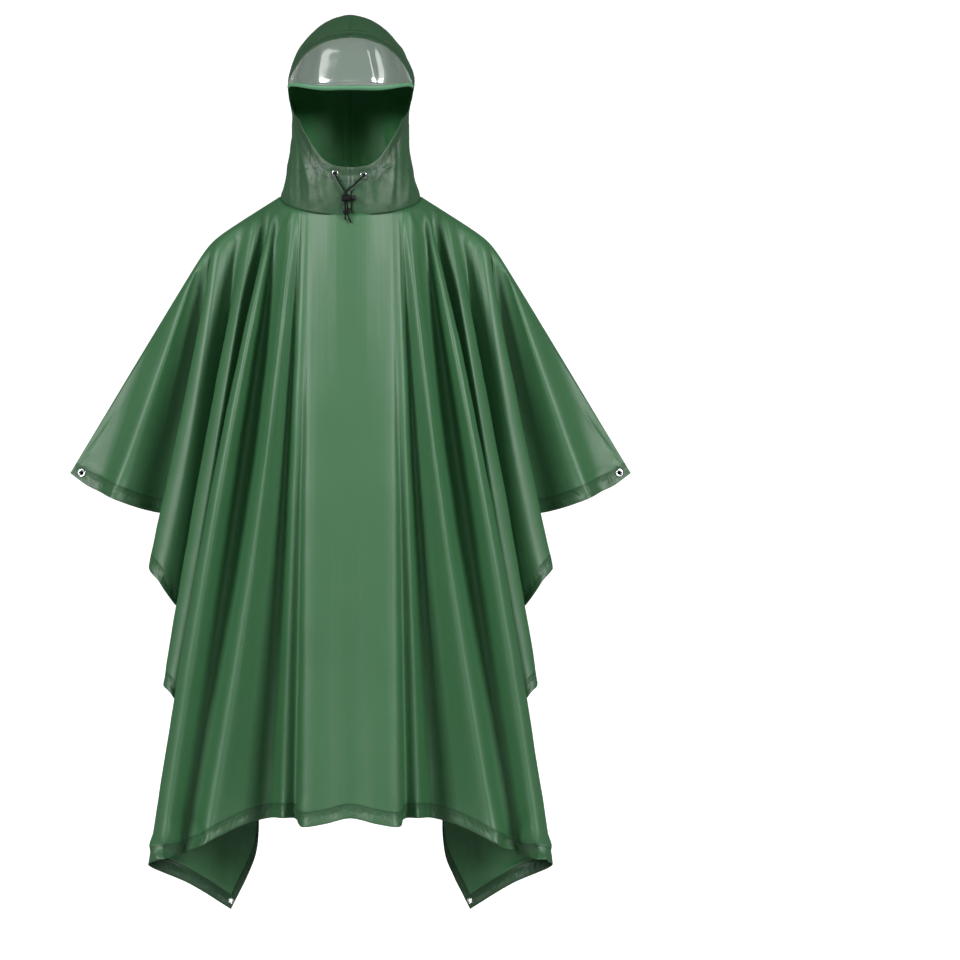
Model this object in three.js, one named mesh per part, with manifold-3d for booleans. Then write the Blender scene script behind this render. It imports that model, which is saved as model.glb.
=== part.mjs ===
// Rain poncho as it is worn: a wide sheet that hangs from the shoulders in folds, a hood with a
// clear visor, eyelets, and a drawstring with its cord lock. Millimetres, +Z up, +X to the right
// of someone who faces the front, front towards -Y. The origin is between the shoulders, at the
// height of the neck corners, where the wearer carries the garment.
import * as THREE from "three";
import { mergeVertices } from "three/addons/utils/BufferGeometryUtils.js";
import Module from "manifold-3d";

// Driving sizes
const clothWall = 1.2;
const seamGap = 0.3;
// Rows of cloth points, as parts of the way down each line
const rowsDown = [0, 0.02, 0.07, 0.2, 0.42, 0.7, 1];
const cellsPerFold = { front: 3, back: 2 };

const neck = { halfWidth: 119, front: 125, back: 115, frontZ: -25, sideZ: 14, backZ: 24 };
const shoulder = { x: 238, z: -59.5, neckSlope: 0.626, sleeveSlope: 1.663, rounding: 15 };
const sleeveEndX = 476;
// How far the cloth reaches out over the shoulder and the sleeve's end before it turns down. It
// grows from nothing at the first sideways place to all at the second.
const reachOut = { shoulder: 36, sleeveEnd: 1, from: 60, full: 140, mostOfDrop: 0.2 };

// The lines that the cloth follows down the front, from the sleeve corner to the centre front.
// top is the sideways place on the shoulder line or neck seam, x, y and z are the lower end,
// bow is how far the line swings outwards on its way, swell how far it stands forward.
const frontLines = [
  { name: "sleeve corner", top: 476, x: 476, y: 0, z: -456, bow: 0, swell: 0 },
  { name: "sleeve strip", top: 430, x: 448, y: -9, z: -476, bow: 0, swell: 0 },
  { name: "sleeve hollow", top: 345, x: 425, y: -20, z: -487, bow: 0, swell: -2 },
  { name: "sleeve crest", top: 262, x: 399, y: -76, z: -498, bow: -7, swell: -24 },
  { name: "sleeve face", top: 250, x: 364, y: -50, z: -512, bow: 2, swell: -6 },
  { name: "sleeve tuck", top: 243, x: 330, y: -20, z: -522, bow: 0, swell: 0 },
  { name: "first turn", top: 238, x: 262, y: -28, z: -533, bow: 0, swell: 0 },
  { name: "first return", top: 233, x: 298, y: -34, z: -580, bow: 2, swell: 6 },
  { name: "first fold edge", top: 228, x: 339, y: -62, z: -611, bow: -3, swell: -4 },
  { name: "first fold crest", top: 222, x: 320, y: -94, z: -636, bow: -9, swell: -18 },
  { name: "first fold face", top: 208, x: 294, y: -82, z: -674, bow: -4, swell: -12 },
  { name: "second turn", top: 190, x: 254, y: -38, z: -716, bow: 0, swell: 2 },
  { name: "second return", top: 178, x: 278, y: -68, z: -772, bow: 4, swell: -4 },
  { name: "second fold edge", top: 168, x: 312, y: -100, z: -804, bow: 4, swell: -24 },
  { name: "second fold crest", top: 160, x: 299, y: -128, z: -819, bow: -2, swell: -46 },
  { name: "second fold face", top: 151, x: 270, y: -112, z: -858, bow: 4, swell: -40 },
  { name: "side panel back", top: 144, x: 222, y: -76, z: -925, bow: 2, swell: -22 },
  { name: "third turn", top: 138, x: 160, y: -50, z: -1012, bow: 0, swell: -30 },
  { name: "corner flap", top: 134, x: 159, y: -43, z: -1094, bow: 8, swell: -50 },
  { name: "corner", top: 131, x: 201, y: -64, z: -1187, bow: 14, swell: -64, sharp: true },
  { name: "flap hem", top: 129, x: 268, y: -98, z: -1140, bow: 16, swell: -64 },
  { name: "third fold edge", top: 126, x: 333, y: -148, z: -1102, bow: 12, swell: -66 },
  { name: "third fold crest", top: 121, x: 309, y: -196, z: -1086, bow: 7, swell: -88 },
  { name: "panel valley", top: 115, x: 284, y: -148, z: -1087, bow: -2, swell: -22 },
  { name: "panel hollow", top: 107, x: 264, y: -156, z: -1077, bow: -8, swell: -22 },
  { name: "wide crest", top: 98, x: 238, y: -198, z: -1060, bow: -14, swell: -50 },
  { name: "wide face", top: 90, x: 180, y: -146, z: -1037, bow: 0, swell: -52 },
  { name: "wide valley", top: 84, x: 138, y: -118, z: -1028, bow: 0, swell: -32 },
  { name: "narrow crest", top: 79, x: 110, y: -178, z: -1021, bow: 0, swell: -34 },
  { name: "narrow valley", top: 74, x: 92, y: -158, z: -1023, bow: 0, swell: -38 },
  { name: "panel edge", top: 68, x: 78, y: -216, z: -1031, bow: 0, swell: -24 },
  { name: "panel", top: 34, x: 42, y: -216, z: -1026, bow: 0, swell: -20 },
  { name: "centre", top: 0, x: 0, y: -204, z: -1018, bow: 0, swell: -20 },
];

// The same for the back, from the sleeve corner to the centre back.
const backLines = [
  { name: "sleeve corner", top: 476, x: 476, y: 0, z: -456, bow: 0, swell: 0 },
  { name: "sleeve strip", top: 430, x: 446, y: 14, z: -474, bow: 0, swell: 2 },
  { name: "sleeve crest", top: 270, x: 392, y: 46, z: -497, bow: 0, swell: 12 },
  { name: "sleeve face", top: 256, x: 338, y: 40, z: -513, bow: 0, swell: 8 },
  { name: "sleeve tuck", top: 246, x: 290, y: 24, z: -522, bow: 0, swell: 0 },
  { name: "first turn", top: 236, x: 250, y: 34, z: -530, bow: 0, swell: 0 },
  { name: "first return", top: 232, x: 294, y: 50, z: -574, bow: 0, swell: 2 },
  { name: "first fold edge", top: 228, x: 322, y: 68, z: -602, bow: 0, swell: 6 },
  { name: "first fold crest", top: 220, x: 306, y: 94, z: -628, bow: -4, swell: 14 },
  { name: "first fold face", top: 206, x: 270, y: 84, z: -670, bow: -4, swell: 18 },
  { name: "second turn", top: 190, x: 226, y: 68, z: -708, bow: 0, swell: 28 },
  { name: "second return", top: 176, x: 270, y: 86, z: -760, bow: 2, swell: 30 },
  { name: "second fold edge", top: 166, x: 297, y: 104, z: -788, bow: 2, swell: 32 },
  { name: "second fold crest", top: 158, x: 284, y: 126, z: -806, bow: 2, swell: 44 },
  { name: "second fold face", top: 150, x: 248, y: 116, z: -848, bow: 2, swell: 46 },
  { name: "side panel back", top: 143, x: 200, y: 96, z: -912, bow: 2, swell: 50 },
  { name: "third turn", top: 136, x: 158, y: 62, z: -984, bow: 0, swell: 54 },
  { name: "corner flap", top: 133, x: 166, y: 50, z: -1066, bow: 8, swell: 62 },
  { name: "corner", top: 131, x: 206, y: 70, z: -1164, bow: 14, swell: 70, sharp: true },
  { name: "flap hem", top: 129, x: 262, y: 102, z: -1112, bow: 14, swell: 70 },
  { name: "third fold edge", top: 126, x: 310, y: 150, z: -1070, bow: 12, swell: 64 },
  { name: "third fold crest", top: 121, x: 288, y: 186, z: -1054, bow: 11, swell: 68 },
  { name: "panel valley", top: 108, x: 256, y: 174, z: -1046, bow: 3, swell: 36 },
  { name: "wide crest", top: 86, x: 208, y: 204, z: -1024, bow: -2, swell: 36 },
  { name: "wide valley", top: 74, x: 150, y: 168, z: -1004, bow: 2, swell: 32 },
  { name: "inner crest", top: 52, x: 104, y: 198, z: -1000, bow: 2, swell: 34 },
  { name: "inner valley", top: 36, x: 62, y: 176, z: -996, bow: 0, swell: 32 },
  { name: "centre", top: 0, x: 0, y: 200, z: -1002, bow: 0, swell: 34 },
];

// Level sections of the hood. edge is the angle round from the centre back at which the cloth
// ends, so 180 is closed at the front and less is the face opening or the visor's upper edge.
const hoodSections = [
  { z: 0, halfWidth: 119, front: 125, back: 115, edge: 180 },
  { z: 22, halfWidth: 112.5, front: 130, back: 114, edge: 180 },
  { z: 36, halfWidth: 109, front: 133, back: 114, edge: 180 },
  { z: 51, halfWidth: 105.5, front: 134, back: 116, edge: 180 },
  { z: 54, halfWidth: 105, front: 134, back: 116, edge: 169 },
  { z: 61, halfWidth: 104, front: 134, back: 117, edge: 161 },
  { z: 82, halfWidth: 101, front: 134, back: 120, edge: 148.5 },
  { z: 102, halfWidth: 99.8, front: 134, back: 123, edge: 139 },
  { z: 137, halfWidth: 99.3, front: 135, back: 129, edge: 122 },
  { z: 156, halfWidth: 99.2, front: 137, back: 132, edge: 102 },
  { z: 171, halfWidth: 102, front: 143, back: 134, edge: 93 },
  { z: 190, halfWidth: 106, front: 152, back: 136, edge: 93 },
  { z: 202, halfWidth: 106.6, front: 149, back: 136, edge: 101 },
  { z: 210, halfWidth: 106.2, front: 146, back: 136, edge: 108 },
  { z: 230, halfWidth: 101.5, front: 137, back: 134, edge: 122 },
  { z: 245, halfWidth: 96.5, front: 130, back: 129, edge: 132 },
  { z: 258, halfWidth: 91, front: 121, back: 122, edge: 149 },
  { z: 266, halfWidth: 86, front: 114, back: 116, edge: 164 },
  { z: 269, halfWidth: 83.5, front: 111, back: 114, edge: 180 },
  { z: 284, halfWidth: 71.5, front: 92, back: 100, edge: 180 },
  { z: 298, halfWidth: 57, front: 71, back: 84, edge: 180 },
  { z: 311, halfWidth: 38, front: 46, back: 62, edge: 180 },
  { z: 318, halfWidth: 20, front: 28, back: 44, edge: 180 },
  { z: 321, halfWidth: 0, front: 14, back: 28, edge: 180 },
];
const hoodColumns = 13;
const hoodRoundness = 2.3;
const neckFade = 45;

// Clear visor: its lower edge dips towards the front like a brim, its upper edge follows the
// hood's from sideZ to topZ.
const visor = {
  wall: 1, lowZ: 183, endZ: 200, endAngle: 103, lowAngle: 165, sideZ: 202, topZ: 269,
  columns: 24, rows: 5,
};
const binding = { wall: 2.4, height: 6 };
const edgeClearance = 0.4;

// Hardware
const bodyEyelet = { outer: 7.2, hole: 3.2, barrel: 4, flange: 0.9, sides: 14 };
const hoodEyelet = { outer: 5.5, hole: 2.1, barrel: 2.8, flange: 0.8, sides: 12 };
const eyeletPlay = { body: 0.8, hood: 0.6 };
const cornerInset = 14;
const sleeveInset = 21;
// Sideways place and height of each hood eyelet
const hoodEyeletPlaces = { left: { x: -26, z: 41 }, right: { x: 22, z: 38 } };
const cord = { diameter: 3, sides: 8 };
const lock = {
  endX: 0, y: -135, z: 0, radius: 5.5, length: 15, bore: 2.8, boreDepth: 12,
  roundEnd: 1.2, roundMouth: 0.8, sides: 20,
};
const strandX = { left: -9.4, right: -5.6 };
const knot = { x: -6.5, y: -131.6, z: -22, radius: 4.4, height: 8, sides: 12 };
const plunger = {
  headRadius: 4.4, headLength: 5, roundHead: 1, stemRadius: 2.4, stemLength: 11, travel: 3.5,
};
const tails = { left: { x: -8.4, z: -36 }, right: { x: 0.8, z: -41 } };
// Each strand runs straight from behind the cloth to ahead of it, turns down, hangs slack between
// the eyelet and the lock, and enters the lock upright.
const strand = { behind: -3, ahead: 2.8, turn: 5, turnDown: 1.4, slack: 1, upright: 5 };
// Sideways place of a strand at the knot, in cord diameters from the knot's centre, and how far
// the tail's end stands out behind it
const atKnot = { aside: 0.62, tailBack: 0.6 };

// Colours and finishes
const finishes = {
  cloth: { color: 0x2f6b45, roughness: 0.45, metalness: 0 },
  clearFilm: { color: 0xd8e2dc, roughness: 0.08, metalness: 0, transparent: true, opacity: 0.4 },
  eyelet: { color: 0xc9ccce, roughness: 0.25, metalness: 1 },
  cord: { color: 0x121212, roughness: 0.8, metalness: 0 },
  lockPlastic: { color: 0x151515, roughness: 0.5, metalness: 0 },
};

const wasm = await Module();
wasm.setup();

const lerp = (a, b, t) => a + (b - a) * t;
const clamp01 = (t) => Math.min(1, Math.max(0, t));
const smooth = (t) => clamp01(t) ** 2 * (3 - 2 * clamp01(t));
const degrees = Math.PI / 180;

// Height of the shoulder and sleeve line at a sideways place.
function shoulderZ(x) {
  const along = x - shoulder.x;
  const middle = (shoulder.neckSlope + shoulder.sleeveSlope) / 2;
  const bend = (shoulder.sleeveSlope - shoulder.neckSlope) / 2;
  return shoulder.z - middle * along - bend * Math.hypot(along, shoulder.rounding);
}

// Point of the neck seam at an angle round from the centre front or back. side is -1 for the
// front and 1 for the back.
function neckPoint(angle, side) {
  const reach = side < 0 ? neck.front : neck.back;
  const endZ = side < 0 ? neck.frontZ : neck.backZ;
  return new THREE.Vector3(
    neck.halfWidth * Math.sin(angle),
    side * reach * Math.cos(angle),
    lerp(endZ, neck.sideZ, 1 - Math.cos(angle)),
  );
}

// Start of a line on the neck seam or the shoulder line, given its sideways place.
function topPoint(x, side) {
  if (x < neck.halfWidth) return neckPoint(Math.asin(x / neck.halfWidth), side);
  return new THREE.Vector3(x, 0, shoulderZ(x));
}

// How far the cloth reaches out over the shoulder or arm before it turns down.
function reachOver(x) {
  const fromNeck = smooth((x - reachOut.from) / (reachOut.full - reachOut.from));
  const toSleeve = smooth((x - shoulder.x) / (sleeveEndX - shoulder.x));
  return fromNeck * lerp(reachOut.shoulder, reachOut.sleeveEnd, toSleeve);
}

// Both are 0 at the ends of a line; the bow is 1 halfway and the swell 1 at a third of the way.
const bowShape = (t) => 4 * t * (1 - t);
const swellShape = (t) => 6.75 * t * (1 - t) ** 2;

// Point of one line at t, from 0 at its top to 1 at its lower end.
function linePoint(line, t, side) {
  const top = topPoint(line.top, side);
  const drop = Math.abs(line.z - top.z) + 1;
  const reach = Math.min(reachOver(line.top), drop * reachOut.mostOfDrop);
  const round = clamp01((t * drop) / (reach + 1e-6));
  const over = reach * Math.sqrt(1 - (1 - round) ** 2) * side;
  return new THREE.Vector3(
    lerp(top.x, line.x, t) + line.bow * bowShape(t),
    top.y + over + (line.y - top.y - reach * side) * t + line.swell * swellShape(t),
    lerp(top.z, line.z, t),
  );
}

// Smooth curve through neighbouring lines: points p0 to p3, at u between p1 and p2. A sharp end
// takes its slope from its own side only.
function between(p0, p1, p2, p3, u, sharpStart, sharpEnd) {
  const gap = (a, b) => Math.sqrt(a.distanceTo(b)) + 1e-4;
  const [d0, d1, d2] = [gap(p0, p1), gap(p1, p2), gap(p2, p3)];
  const slope = (a, b, c, da, db) =>
    new THREE.Vector3()
      .addScaledVector(b, 1 / da - 1 / db)
      .addScaledVector(a, -1 / da + 1 / (da + db))
      .addScaledVector(c, 1 / db - 1 / (da + db));
  const straight = new THREE.Vector3().subVectors(p2, p1);
  const m1 = slope(p0, p1, p2, d0, d1).multiplyScalar(d1).lerp(straight, sharpStart);
  const m2 = slope(p1, p2, p3, d1, d2).multiplyScalar(d1).lerp(straight, sharpEnd);
  const [u2, u3] = [u * u, u * u * u];
  return new THREE.Vector3()
    .addScaledVector(p1, 2 * u3 - 3 * u2 + 1)
    .addScaledVector(m1, u3 - 2 * u2 + u)
    .addScaledVector(p2, 3 * u2 - 2 * u3)
    .addScaledVector(m2, u3 - u2);
}

// Point of a body panel: place counts the lines from the left sleeve corner (0) across the
// centre to the right sleeve corner, t runs from the top to the lower edge.
function panelPoint(lines, side, place, t) {
  const middle = lines.length - 1;
  const right = place > middle;
  const inHalf = right ? 2 * middle - place : place;
  const index = Math.min(middle - 1, Math.floor(inHalf));
  const mirrored = (i) => {
    const line = lines[i > middle ? 2 * middle - i : Math.max(0, i)];
    const point = linePoint(line, t, side);
    if (i <= middle) point.x = -point.x;
    return point;
  };
  const sharpness = t ** 6;
  const point = between(
    mirrored(index - 1),
    mirrored(index),
    mirrored(index + 1),
    mirrored(index + 2),
    inHalf - index,
    lines[index].sharp ? sharpness : 0,
    lines[index + 1].sharp ? sharpness : 0,
  );
  if (right) point.x = -point.x;
  return point;
}

function panelGrid(lines, side, cells) {
  const columns = (lines.length - 1) * 2 * cells;
  return rowsDown.map((t) =>
    Array.from({ length: columns + 1 }, (_, c) => {
      const point = panelPoint(lines, side, c / cells, t);
      const nearest = t === 0 ? seamGap / 2 : (seamGap + clothWall) / 2;
      point.y = side * Math.max(side * point.y, nearest);
      return point;
    }),
  );
}

// On the shoulder line the wall's edge stands square to the seam, so both panels meet flat.
function squareToSeam(normal, point) {
  if (Math.abs(point.y) > seamGap / 2 + 1e-3) return;
  const x = Math.abs(point.x);
  const slope = shoulderZ(x - 1) - shoulderZ(x + 1);
  normal.set((Math.sign(point.x) * slope) / 2, 0, 1);
}

// Closed wall round a grid of middle points. Rows run one way and columns the other, and the
// outer face lies to the left of the rows when seen from it. steer may set a border normal.
function wallFrom(grid, wall, turned = false, steer = null) {
  const rows = grid.length;
  const columns = grid[0].length;
  const normals = grid.map((row) => row.map(() => new THREE.Vector3()));
  const key = (p) => `${p.x.toFixed(3)},${p.y.toFixed(3)},${p.z.toFixed(3)}`;
  const shared = new Map();
  const at = (i, j) => {
    const name = key(grid[i][j]);
    if (!shared.has(name)) shared.set(name, new THREE.Vector3());
    return shared.get(name);
  };
  const face = (a, b, c) => {
    const [p, q, r] = [a, b, c].map(([i, j]) => grid[i][j]);
    const n = new THREE.Vector3()
      .subVectors(q, p)
      .cross(new THREE.Vector3().subVectors(r, p));
    for (const [i, j] of [a, b, c]) at(i, j).add(n);
  };
  for (let i = 0; i + 1 < rows; i++)
    for (let j = 0; j + 1 < columns; j++) {
      face([i, j], [i + 1, j], [i + 1, j + 1]);
      face([i, j], [i + 1, j + 1], [i, j + 1]);
    }
  for (let i = 0; i < rows; i++)
    for (let j = 0; j < columns; j++) {
      const n = at(i, j).clone().multiplyScalar(turned ? -1 : 1);
      if (steer) steer(n, grid[i][j], i, j);
      normals[i][j] = n.normalize();
    }
  const positions = [];
  const side = (way) =>
    grid.map((row, i) =>
      row.map((p, j) => p.clone().addScaledVector(normals[i][j], (way * wall) / 2)),
    );
  const outer = side(1);
  const inner = side(-1);
  const triangle = (a, b, c) => {
    const spans = a.distanceTo(b) > 1e-3 && b.distanceTo(c) > 1e-3 && c.distanceTo(a) > 1e-3;
    if (!spans) return;
    for (const p of turned ? [a, c, b] : [a, b, c]) positions.push(p.x, p.y, p.z);
  };
  const quad = (a, b, c, d) => {
    triangle(a, b, c);
    triangle(a, c, d);
  };
  for (let i = 0; i + 1 < rows; i++)
    for (let j = 0; j + 1 < columns; j++) {
      quad(outer[i][j], outer[i + 1][j], outer[i + 1][j + 1], outer[i][j + 1]);
      quad(inner[i][j], inner[i][j + 1], inner[i + 1][j + 1], inner[i + 1][j]);
    }
  const rim = (list) => {
    for (let k = 0; k + 1 < list.length; k++) {
      const [[i, j], [m, n]] = [list[k], list[k + 1]];
      quad(outer[i][j], outer[m][n], inner[m][n], inner[i][j]);
    }
  };
  const last = rows - 1;
  const end = columns - 1;
  rim(Array.from({ length: columns }, (_, j) => [0, j]));
  rim(Array.from({ length: rows }, (_, i) => [i, end]));
  rim(Array.from({ length: columns }, (_, j) => [last, end - j]));
  rim(Array.from({ length: rows }, (_, i) => [last - i, 0]));
  return fromPositions(positions);
}

function fromPositions(positions) {
  const geometry = new THREE.BufferGeometry();
  geometry.setAttribute("position", new THREE.Float32BufferAttribute(positions, 3));
  const merged = mergeVertices(geometry, 1e-3);
  merged.computeVertexNormals();
  return merged;
}

// Booleans
function solidOf(geometry) {
  const bare = geometry.clone();
  for (const name of Object.keys(bare.attributes))
    if (name !== "position") bare.deleteAttribute(name);
  const merged = mergeVertices(bare, 1e-3);
  return new wasm.Manifold(
    new wasm.Mesh({
      numProp: 3,
      vertProperties: merged.attributes.position.array,
      triVerts: new Uint32Array(merged.index.array),
    }),
  );
}

function geometryOf(solid) {
  const mesh = solid.getMesh();
  const geometry = new THREE.BufferGeometry();
  geometry.setAttribute("position", new THREE.BufferAttribute(mesh.vertProperties, 3));
  geometry.setIndex(new THREE.BufferAttribute(mesh.triVerts, 1));
  geometry.computeVertexNormals();
  return geometry;
}

// Round hole through a wall at a place, along its normal.
function withHole(geometry, place, radius, sides) {
  const punch = new THREE.CylinderGeometry(radius, radius, 12, sides);
  punch.applyMatrix4(placeMatrix(place));
  return geometryOf(solidOf(geometry).subtract(solidOf(punch)));
}

// Matrix that puts the Y axis of a turned shape along a place's normal.
function placeMatrix({ point, normal }) {
  const turn = new THREE.Quaternion().setFromUnitVectors(new THREE.Vector3(0, 1, 0), normal);
  return new THREE.Matrix4().compose(point, turn, new THREE.Vector3(1, 1, 1));
}

// The place of a grid's faces that is nearest to a target: its point, and the normal that faces
// out, taken over a small patch.
function placeOn(grid, target, outward, patch) {
  const triangles = [];
  for (let i = 0; i + 1 < grid.length; i++)
    for (let j = 0; j + 1 < grid[i].length; j++) {
      const [a, b, c, d] = [grid[i][j], grid[i + 1][j], grid[i + 1][j + 1], grid[i][j + 1]];
      triangles.push(new THREE.Triangle(a, b, c), new THREE.Triangle(a, c, d));
    }
  const nearest = (goal) => {
    const found = new THREE.Vector3();
    const best = { point: new THREE.Vector3(), distance: Infinity, triangle: null };
    for (const triangle of triangles) {
      const distance = triangle.closestPointToPoint(goal, found).distanceTo(goal);
      if (distance >= best.distance) continue;
      best.point.copy(found);
      best.distance = distance;
      best.triangle = triangle;
    }
    return best;
  };
  const centre = nearest(target);
  const first = centre.triangle.getNormal(new THREE.Vector3());
  const across = new THREE.Vector3(0, 1, 0).cross(first).normalize().multiplyScalar(patch);
  const up = first.clone().cross(across).setLength(patch);
  const around = [across, up, across.clone().negate(), up.clone().negate()].map(
    (step) => nearest(centre.point.clone().add(step)).point,
  );
  const normal = new THREE.Vector3()
    .subVectors(around[0], around[2])
    .cross(new THREE.Vector3().subVectors(around[1], around[3]))
    .normalize();
  if (normal.dot(outward) < 0) normal.negate();
  const point = around.reduce((sum, p) => sum.add(p), centre.point.clone().multiplyScalar(4));
  return { point: point.multiplyScalar(1 / 8), normal };
}

// Eyelet: two flanges joined by a barrel that fills the hole in the cloth.
function eyeletGeometry(size, wall, play) {
  const inside = wall / 2 + play;
  const outside = inside + size.flange;
  const profile = [
    [size.hole, -outside],
    [size.outer, -outside],
    [size.outer, -inside],
    [size.barrel, -inside],
    [size.barrel, inside],
    [size.outer, inside],
    [size.outer - 0.8, outside],
    [size.hole, outside],
    [size.hole, -outside],
  ].map(([r, h]) => new THREE.Vector2(r, h));
  return new THREE.LatheGeometry(profile, size.sides);
}

// Hood
function hoodSection(z) {
  const above = hoodSections.findIndex((s) => s.z >= z);
  const upper = hoodSections[Math.max(1, above < 0 ? hoodSections.length - 1 : above)];
  const lower = hoodSections[hoodSections.indexOf(upper) - 1];
  const t = (z - lower.z) / (upper.z - lower.z);
  const mixed = { z };
  for (const name of ["halfWidth", "front", "back", "edge"])
    mixed[name] = lerp(lower[name], upper[name], t);
  return mixed;
}

// Point of the hood's surface on its left side, at an angle round from the centre back.
function hoodPoint(section, angle, clear = 0) {
  const power = 2 / hoodRoundness;
  const sine = Math.abs(Math.sin(angle * degrees)) ** power;
  const cosine = Math.abs(Math.cos(angle * degrees)) ** power;
  const forward = angle > 90;
  const y = forward ? -section.front * cosine : section.back * cosine;
  const seam = neckPoint(Math.asin(clamp01(sine)), forward ? -1 : 1);
  const z = section.z + seam.z * (1 - smooth(section.z / neckFade));
  return new THREE.Vector3(-Math.max(clear, section.halfWidth * sine), y, z);
}

function hoodGrid(side) {
  const lift = clothWall * 1.4 + seamGap;
  return hoodSections.map((section, i) => {
    const level = i === 0 ? { ...section, z: lift } : section;
    return Array.from({ length: hoodColumns + 1 }, (_, j) => {
      const point = hoodPoint(level, (section.edge * j) / hoodColumns, seamGap / 2);
      if (side > 0) point.x = -point.x;
      return point;
    });
  });
}

function hoodGeometry(side) {
  const end = hoodColumns;
  const last = hoodSections.length - 1;
  const steer = (n, point, i, j) => {
    const onSeam = j === 0 || i === last || (j === end && hoodSections[i].edge === 180);
    if (onSeam) n.x = 0;
  };
  return wallFrom(hoodGrid(side), clothWall, side > 0, steer);
}

// Visor and its binding follow the hood's front, between the crown and the face opening.
function visorLowZ(angle) {
  const along = (angle - visor.endAngle) / (visor.lowAngle - visor.endAngle);
  return lerp(visor.endZ, visor.lowZ, smooth(along));
}

function visorHighZ(angle) {
  const rising = hoodSections.filter((s) => s.z >= visor.sideZ && s.z <= visor.topZ);
  const above = rising.findIndex((s) => s.edge >= angle);
  if (above < 0) return rising.at(-1).z;
  if (above === 0) return rising[0].z;
  const [low, high] = [rising[above - 1], rising[above]];
  return lerp(low.z, high.z, (angle - low.edge) / (high.edge - low.edge));
}

function visorPoint(angle, z) {
  const fromBack = angle > 180 ? 360 - angle : angle;
  const point = hoodPoint(hoodSection(z), fromBack);
  if (angle > 180) point.x = -point.x;
  return point;
}

function frontStrip(columns, heights) {
  return heights.map((height) => {
    const start = hoodSection(height(visor.endAngle)).edge + edgeClearance;
    return Array.from({ length: columns + 1 }, (_, j) => {
      const angle = lerp(start, 360 - start, j / columns);
      return visorPoint(angle, height(angle > 180 ? 360 - angle : angle));
    });
  });
}

function visorGeometry() {
  const clearOfHood = clothWall / 2 + seamGap * 2;
  const heights = Array.from({ length: visor.rows + 1 }, (_, i) => (angle) => {
    const low = visorLowZ(angle);
    return lerp(Math.max(low + 1, visorHighZ(angle) - clearOfHood), low, i / visor.rows);
  });
  return wallFrom(frontStrip(visor.columns, heights), visor.wall);
}

function bindingGeometry() {
  const heights = [0, 0.5, 1].map((part) => (angle) => {
    return visorLowZ(angle) - seamGap - visor.wall / 2 - part * binding.height;
  });
  return wallFrom(frontStrip(visor.columns, heights), binding.wall);
}

// Drawstring
function cordGeometry(points) {
  const path = new THREE.CatmullRomCurve3(points, false, "centripetal");
  const steps = Math.max(4, Math.round(path.getLength() / (2.4 * cord.diameter)));
  const section = new THREE.Shape();
  for (let k = 0; k < cord.sides; k++) {
    const angle = (k / cord.sides) * 2 * Math.PI;
    const [x, y] = [Math.cos(angle), Math.sin(angle)].map((v) => (v * cord.diameter) / 2);
    if (k === 0) section.moveTo(x, y);
    else section.lineTo(x, y);
  }
  section.closePath();
  return new THREE.ExtrudeGeometry(section, { steps, extrudePath: path, bevelEnabled: false });
}

const part = new THREE.Group();
const materials = {};
for (const [name, finish] of Object.entries(finishes))
  materials[name] = new THREE.MeshStandardMaterial(finish);

function addMesh(name, geometry, finish) {
  const mesh = new THREE.Mesh(geometry, materials[finish]);
  mesh.name = name;
  part.add(mesh);
}

// Front and back panels with their eyelets
function panelPlaces(lines, side, grid) {
  const outward = new THREE.Vector3(0, side, 0);
  const inward = new THREE.Vector3(0, -side, 0);
  const corner = lines.find((line) => line.sharp);
  const places = {};
  for (const [where, way] of [
    ["left", -1],
    ["right", 1],
  ]) {
    const above = new THREE.Vector3(way * corner.x, corner.y, corner.z + cornerInset);
    places[where] = placeOn(grid, above, inward, bodyEyelet.outer);
    if (side > 0) continue;
    const inside = new THREE.Vector3(way * (lines[0].x - sleeveInset), 0, lines[0].z);
    places[`sleeve_${where}`] = placeOn(grid, inside, outward, bodyEyelet.outer);
  }
  return places;
}

for (const [name, lines, side] of [
  ["front", frontLines, -1],
  ["back", backLines, 1],
]) {
  const grid = panelGrid(lines, side, cellsPerFold[name]);
  let panel = wallFrom(grid, clothWall, side > 0, squareToSeam);
  for (const [where, place] of Object.entries(panelPlaces(lines, side, grid))) {
    panel = withHole(panel, place, bodyEyelet.barrel + seamGap, bodyEyelet.sides);
    const eyelet = eyeletGeometry(bodyEyelet, clothWall, eyeletPlay.body);
    addMesh(`eyelet_${name}_${where}`, eyelet.applyMatrix4(placeMatrix(place)), "eyelet");
  }
  addMesh(name, panel, "cloth");
}

// Hood
const hoodPlaces = {};
for (const [where, side] of [
  ["left", -1],
  ["right", 1],
]) {
  const { x, z } = hoodEyeletPlaces[where];
  const target = new THREE.Vector3(x, -neck.front - 10, z);
  const place = placeOn(hoodGrid(side), target, new THREE.Vector3(0, -1, 0), hoodEyelet.outer);
  hoodPlaces[where] = place;
  const half = withHole(hoodGeometry(side), place, hoodEyelet.barrel + seamGap, hoodEyelet.sides);
  addMesh(`hood_${where}`, half, "cloth");
  const eyelet = eyeletGeometry(hoodEyelet, clothWall, eyeletPlay.hood);
  addMesh(`eyelet_hood_${where}`, eyelet.applyMatrix4(placeMatrix(place)), "eyelet");
}
addMesh("visor", visorGeometry(), "clearFilm");
addMesh("visor_binding", bindingGeometry(), "cloth");

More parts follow.
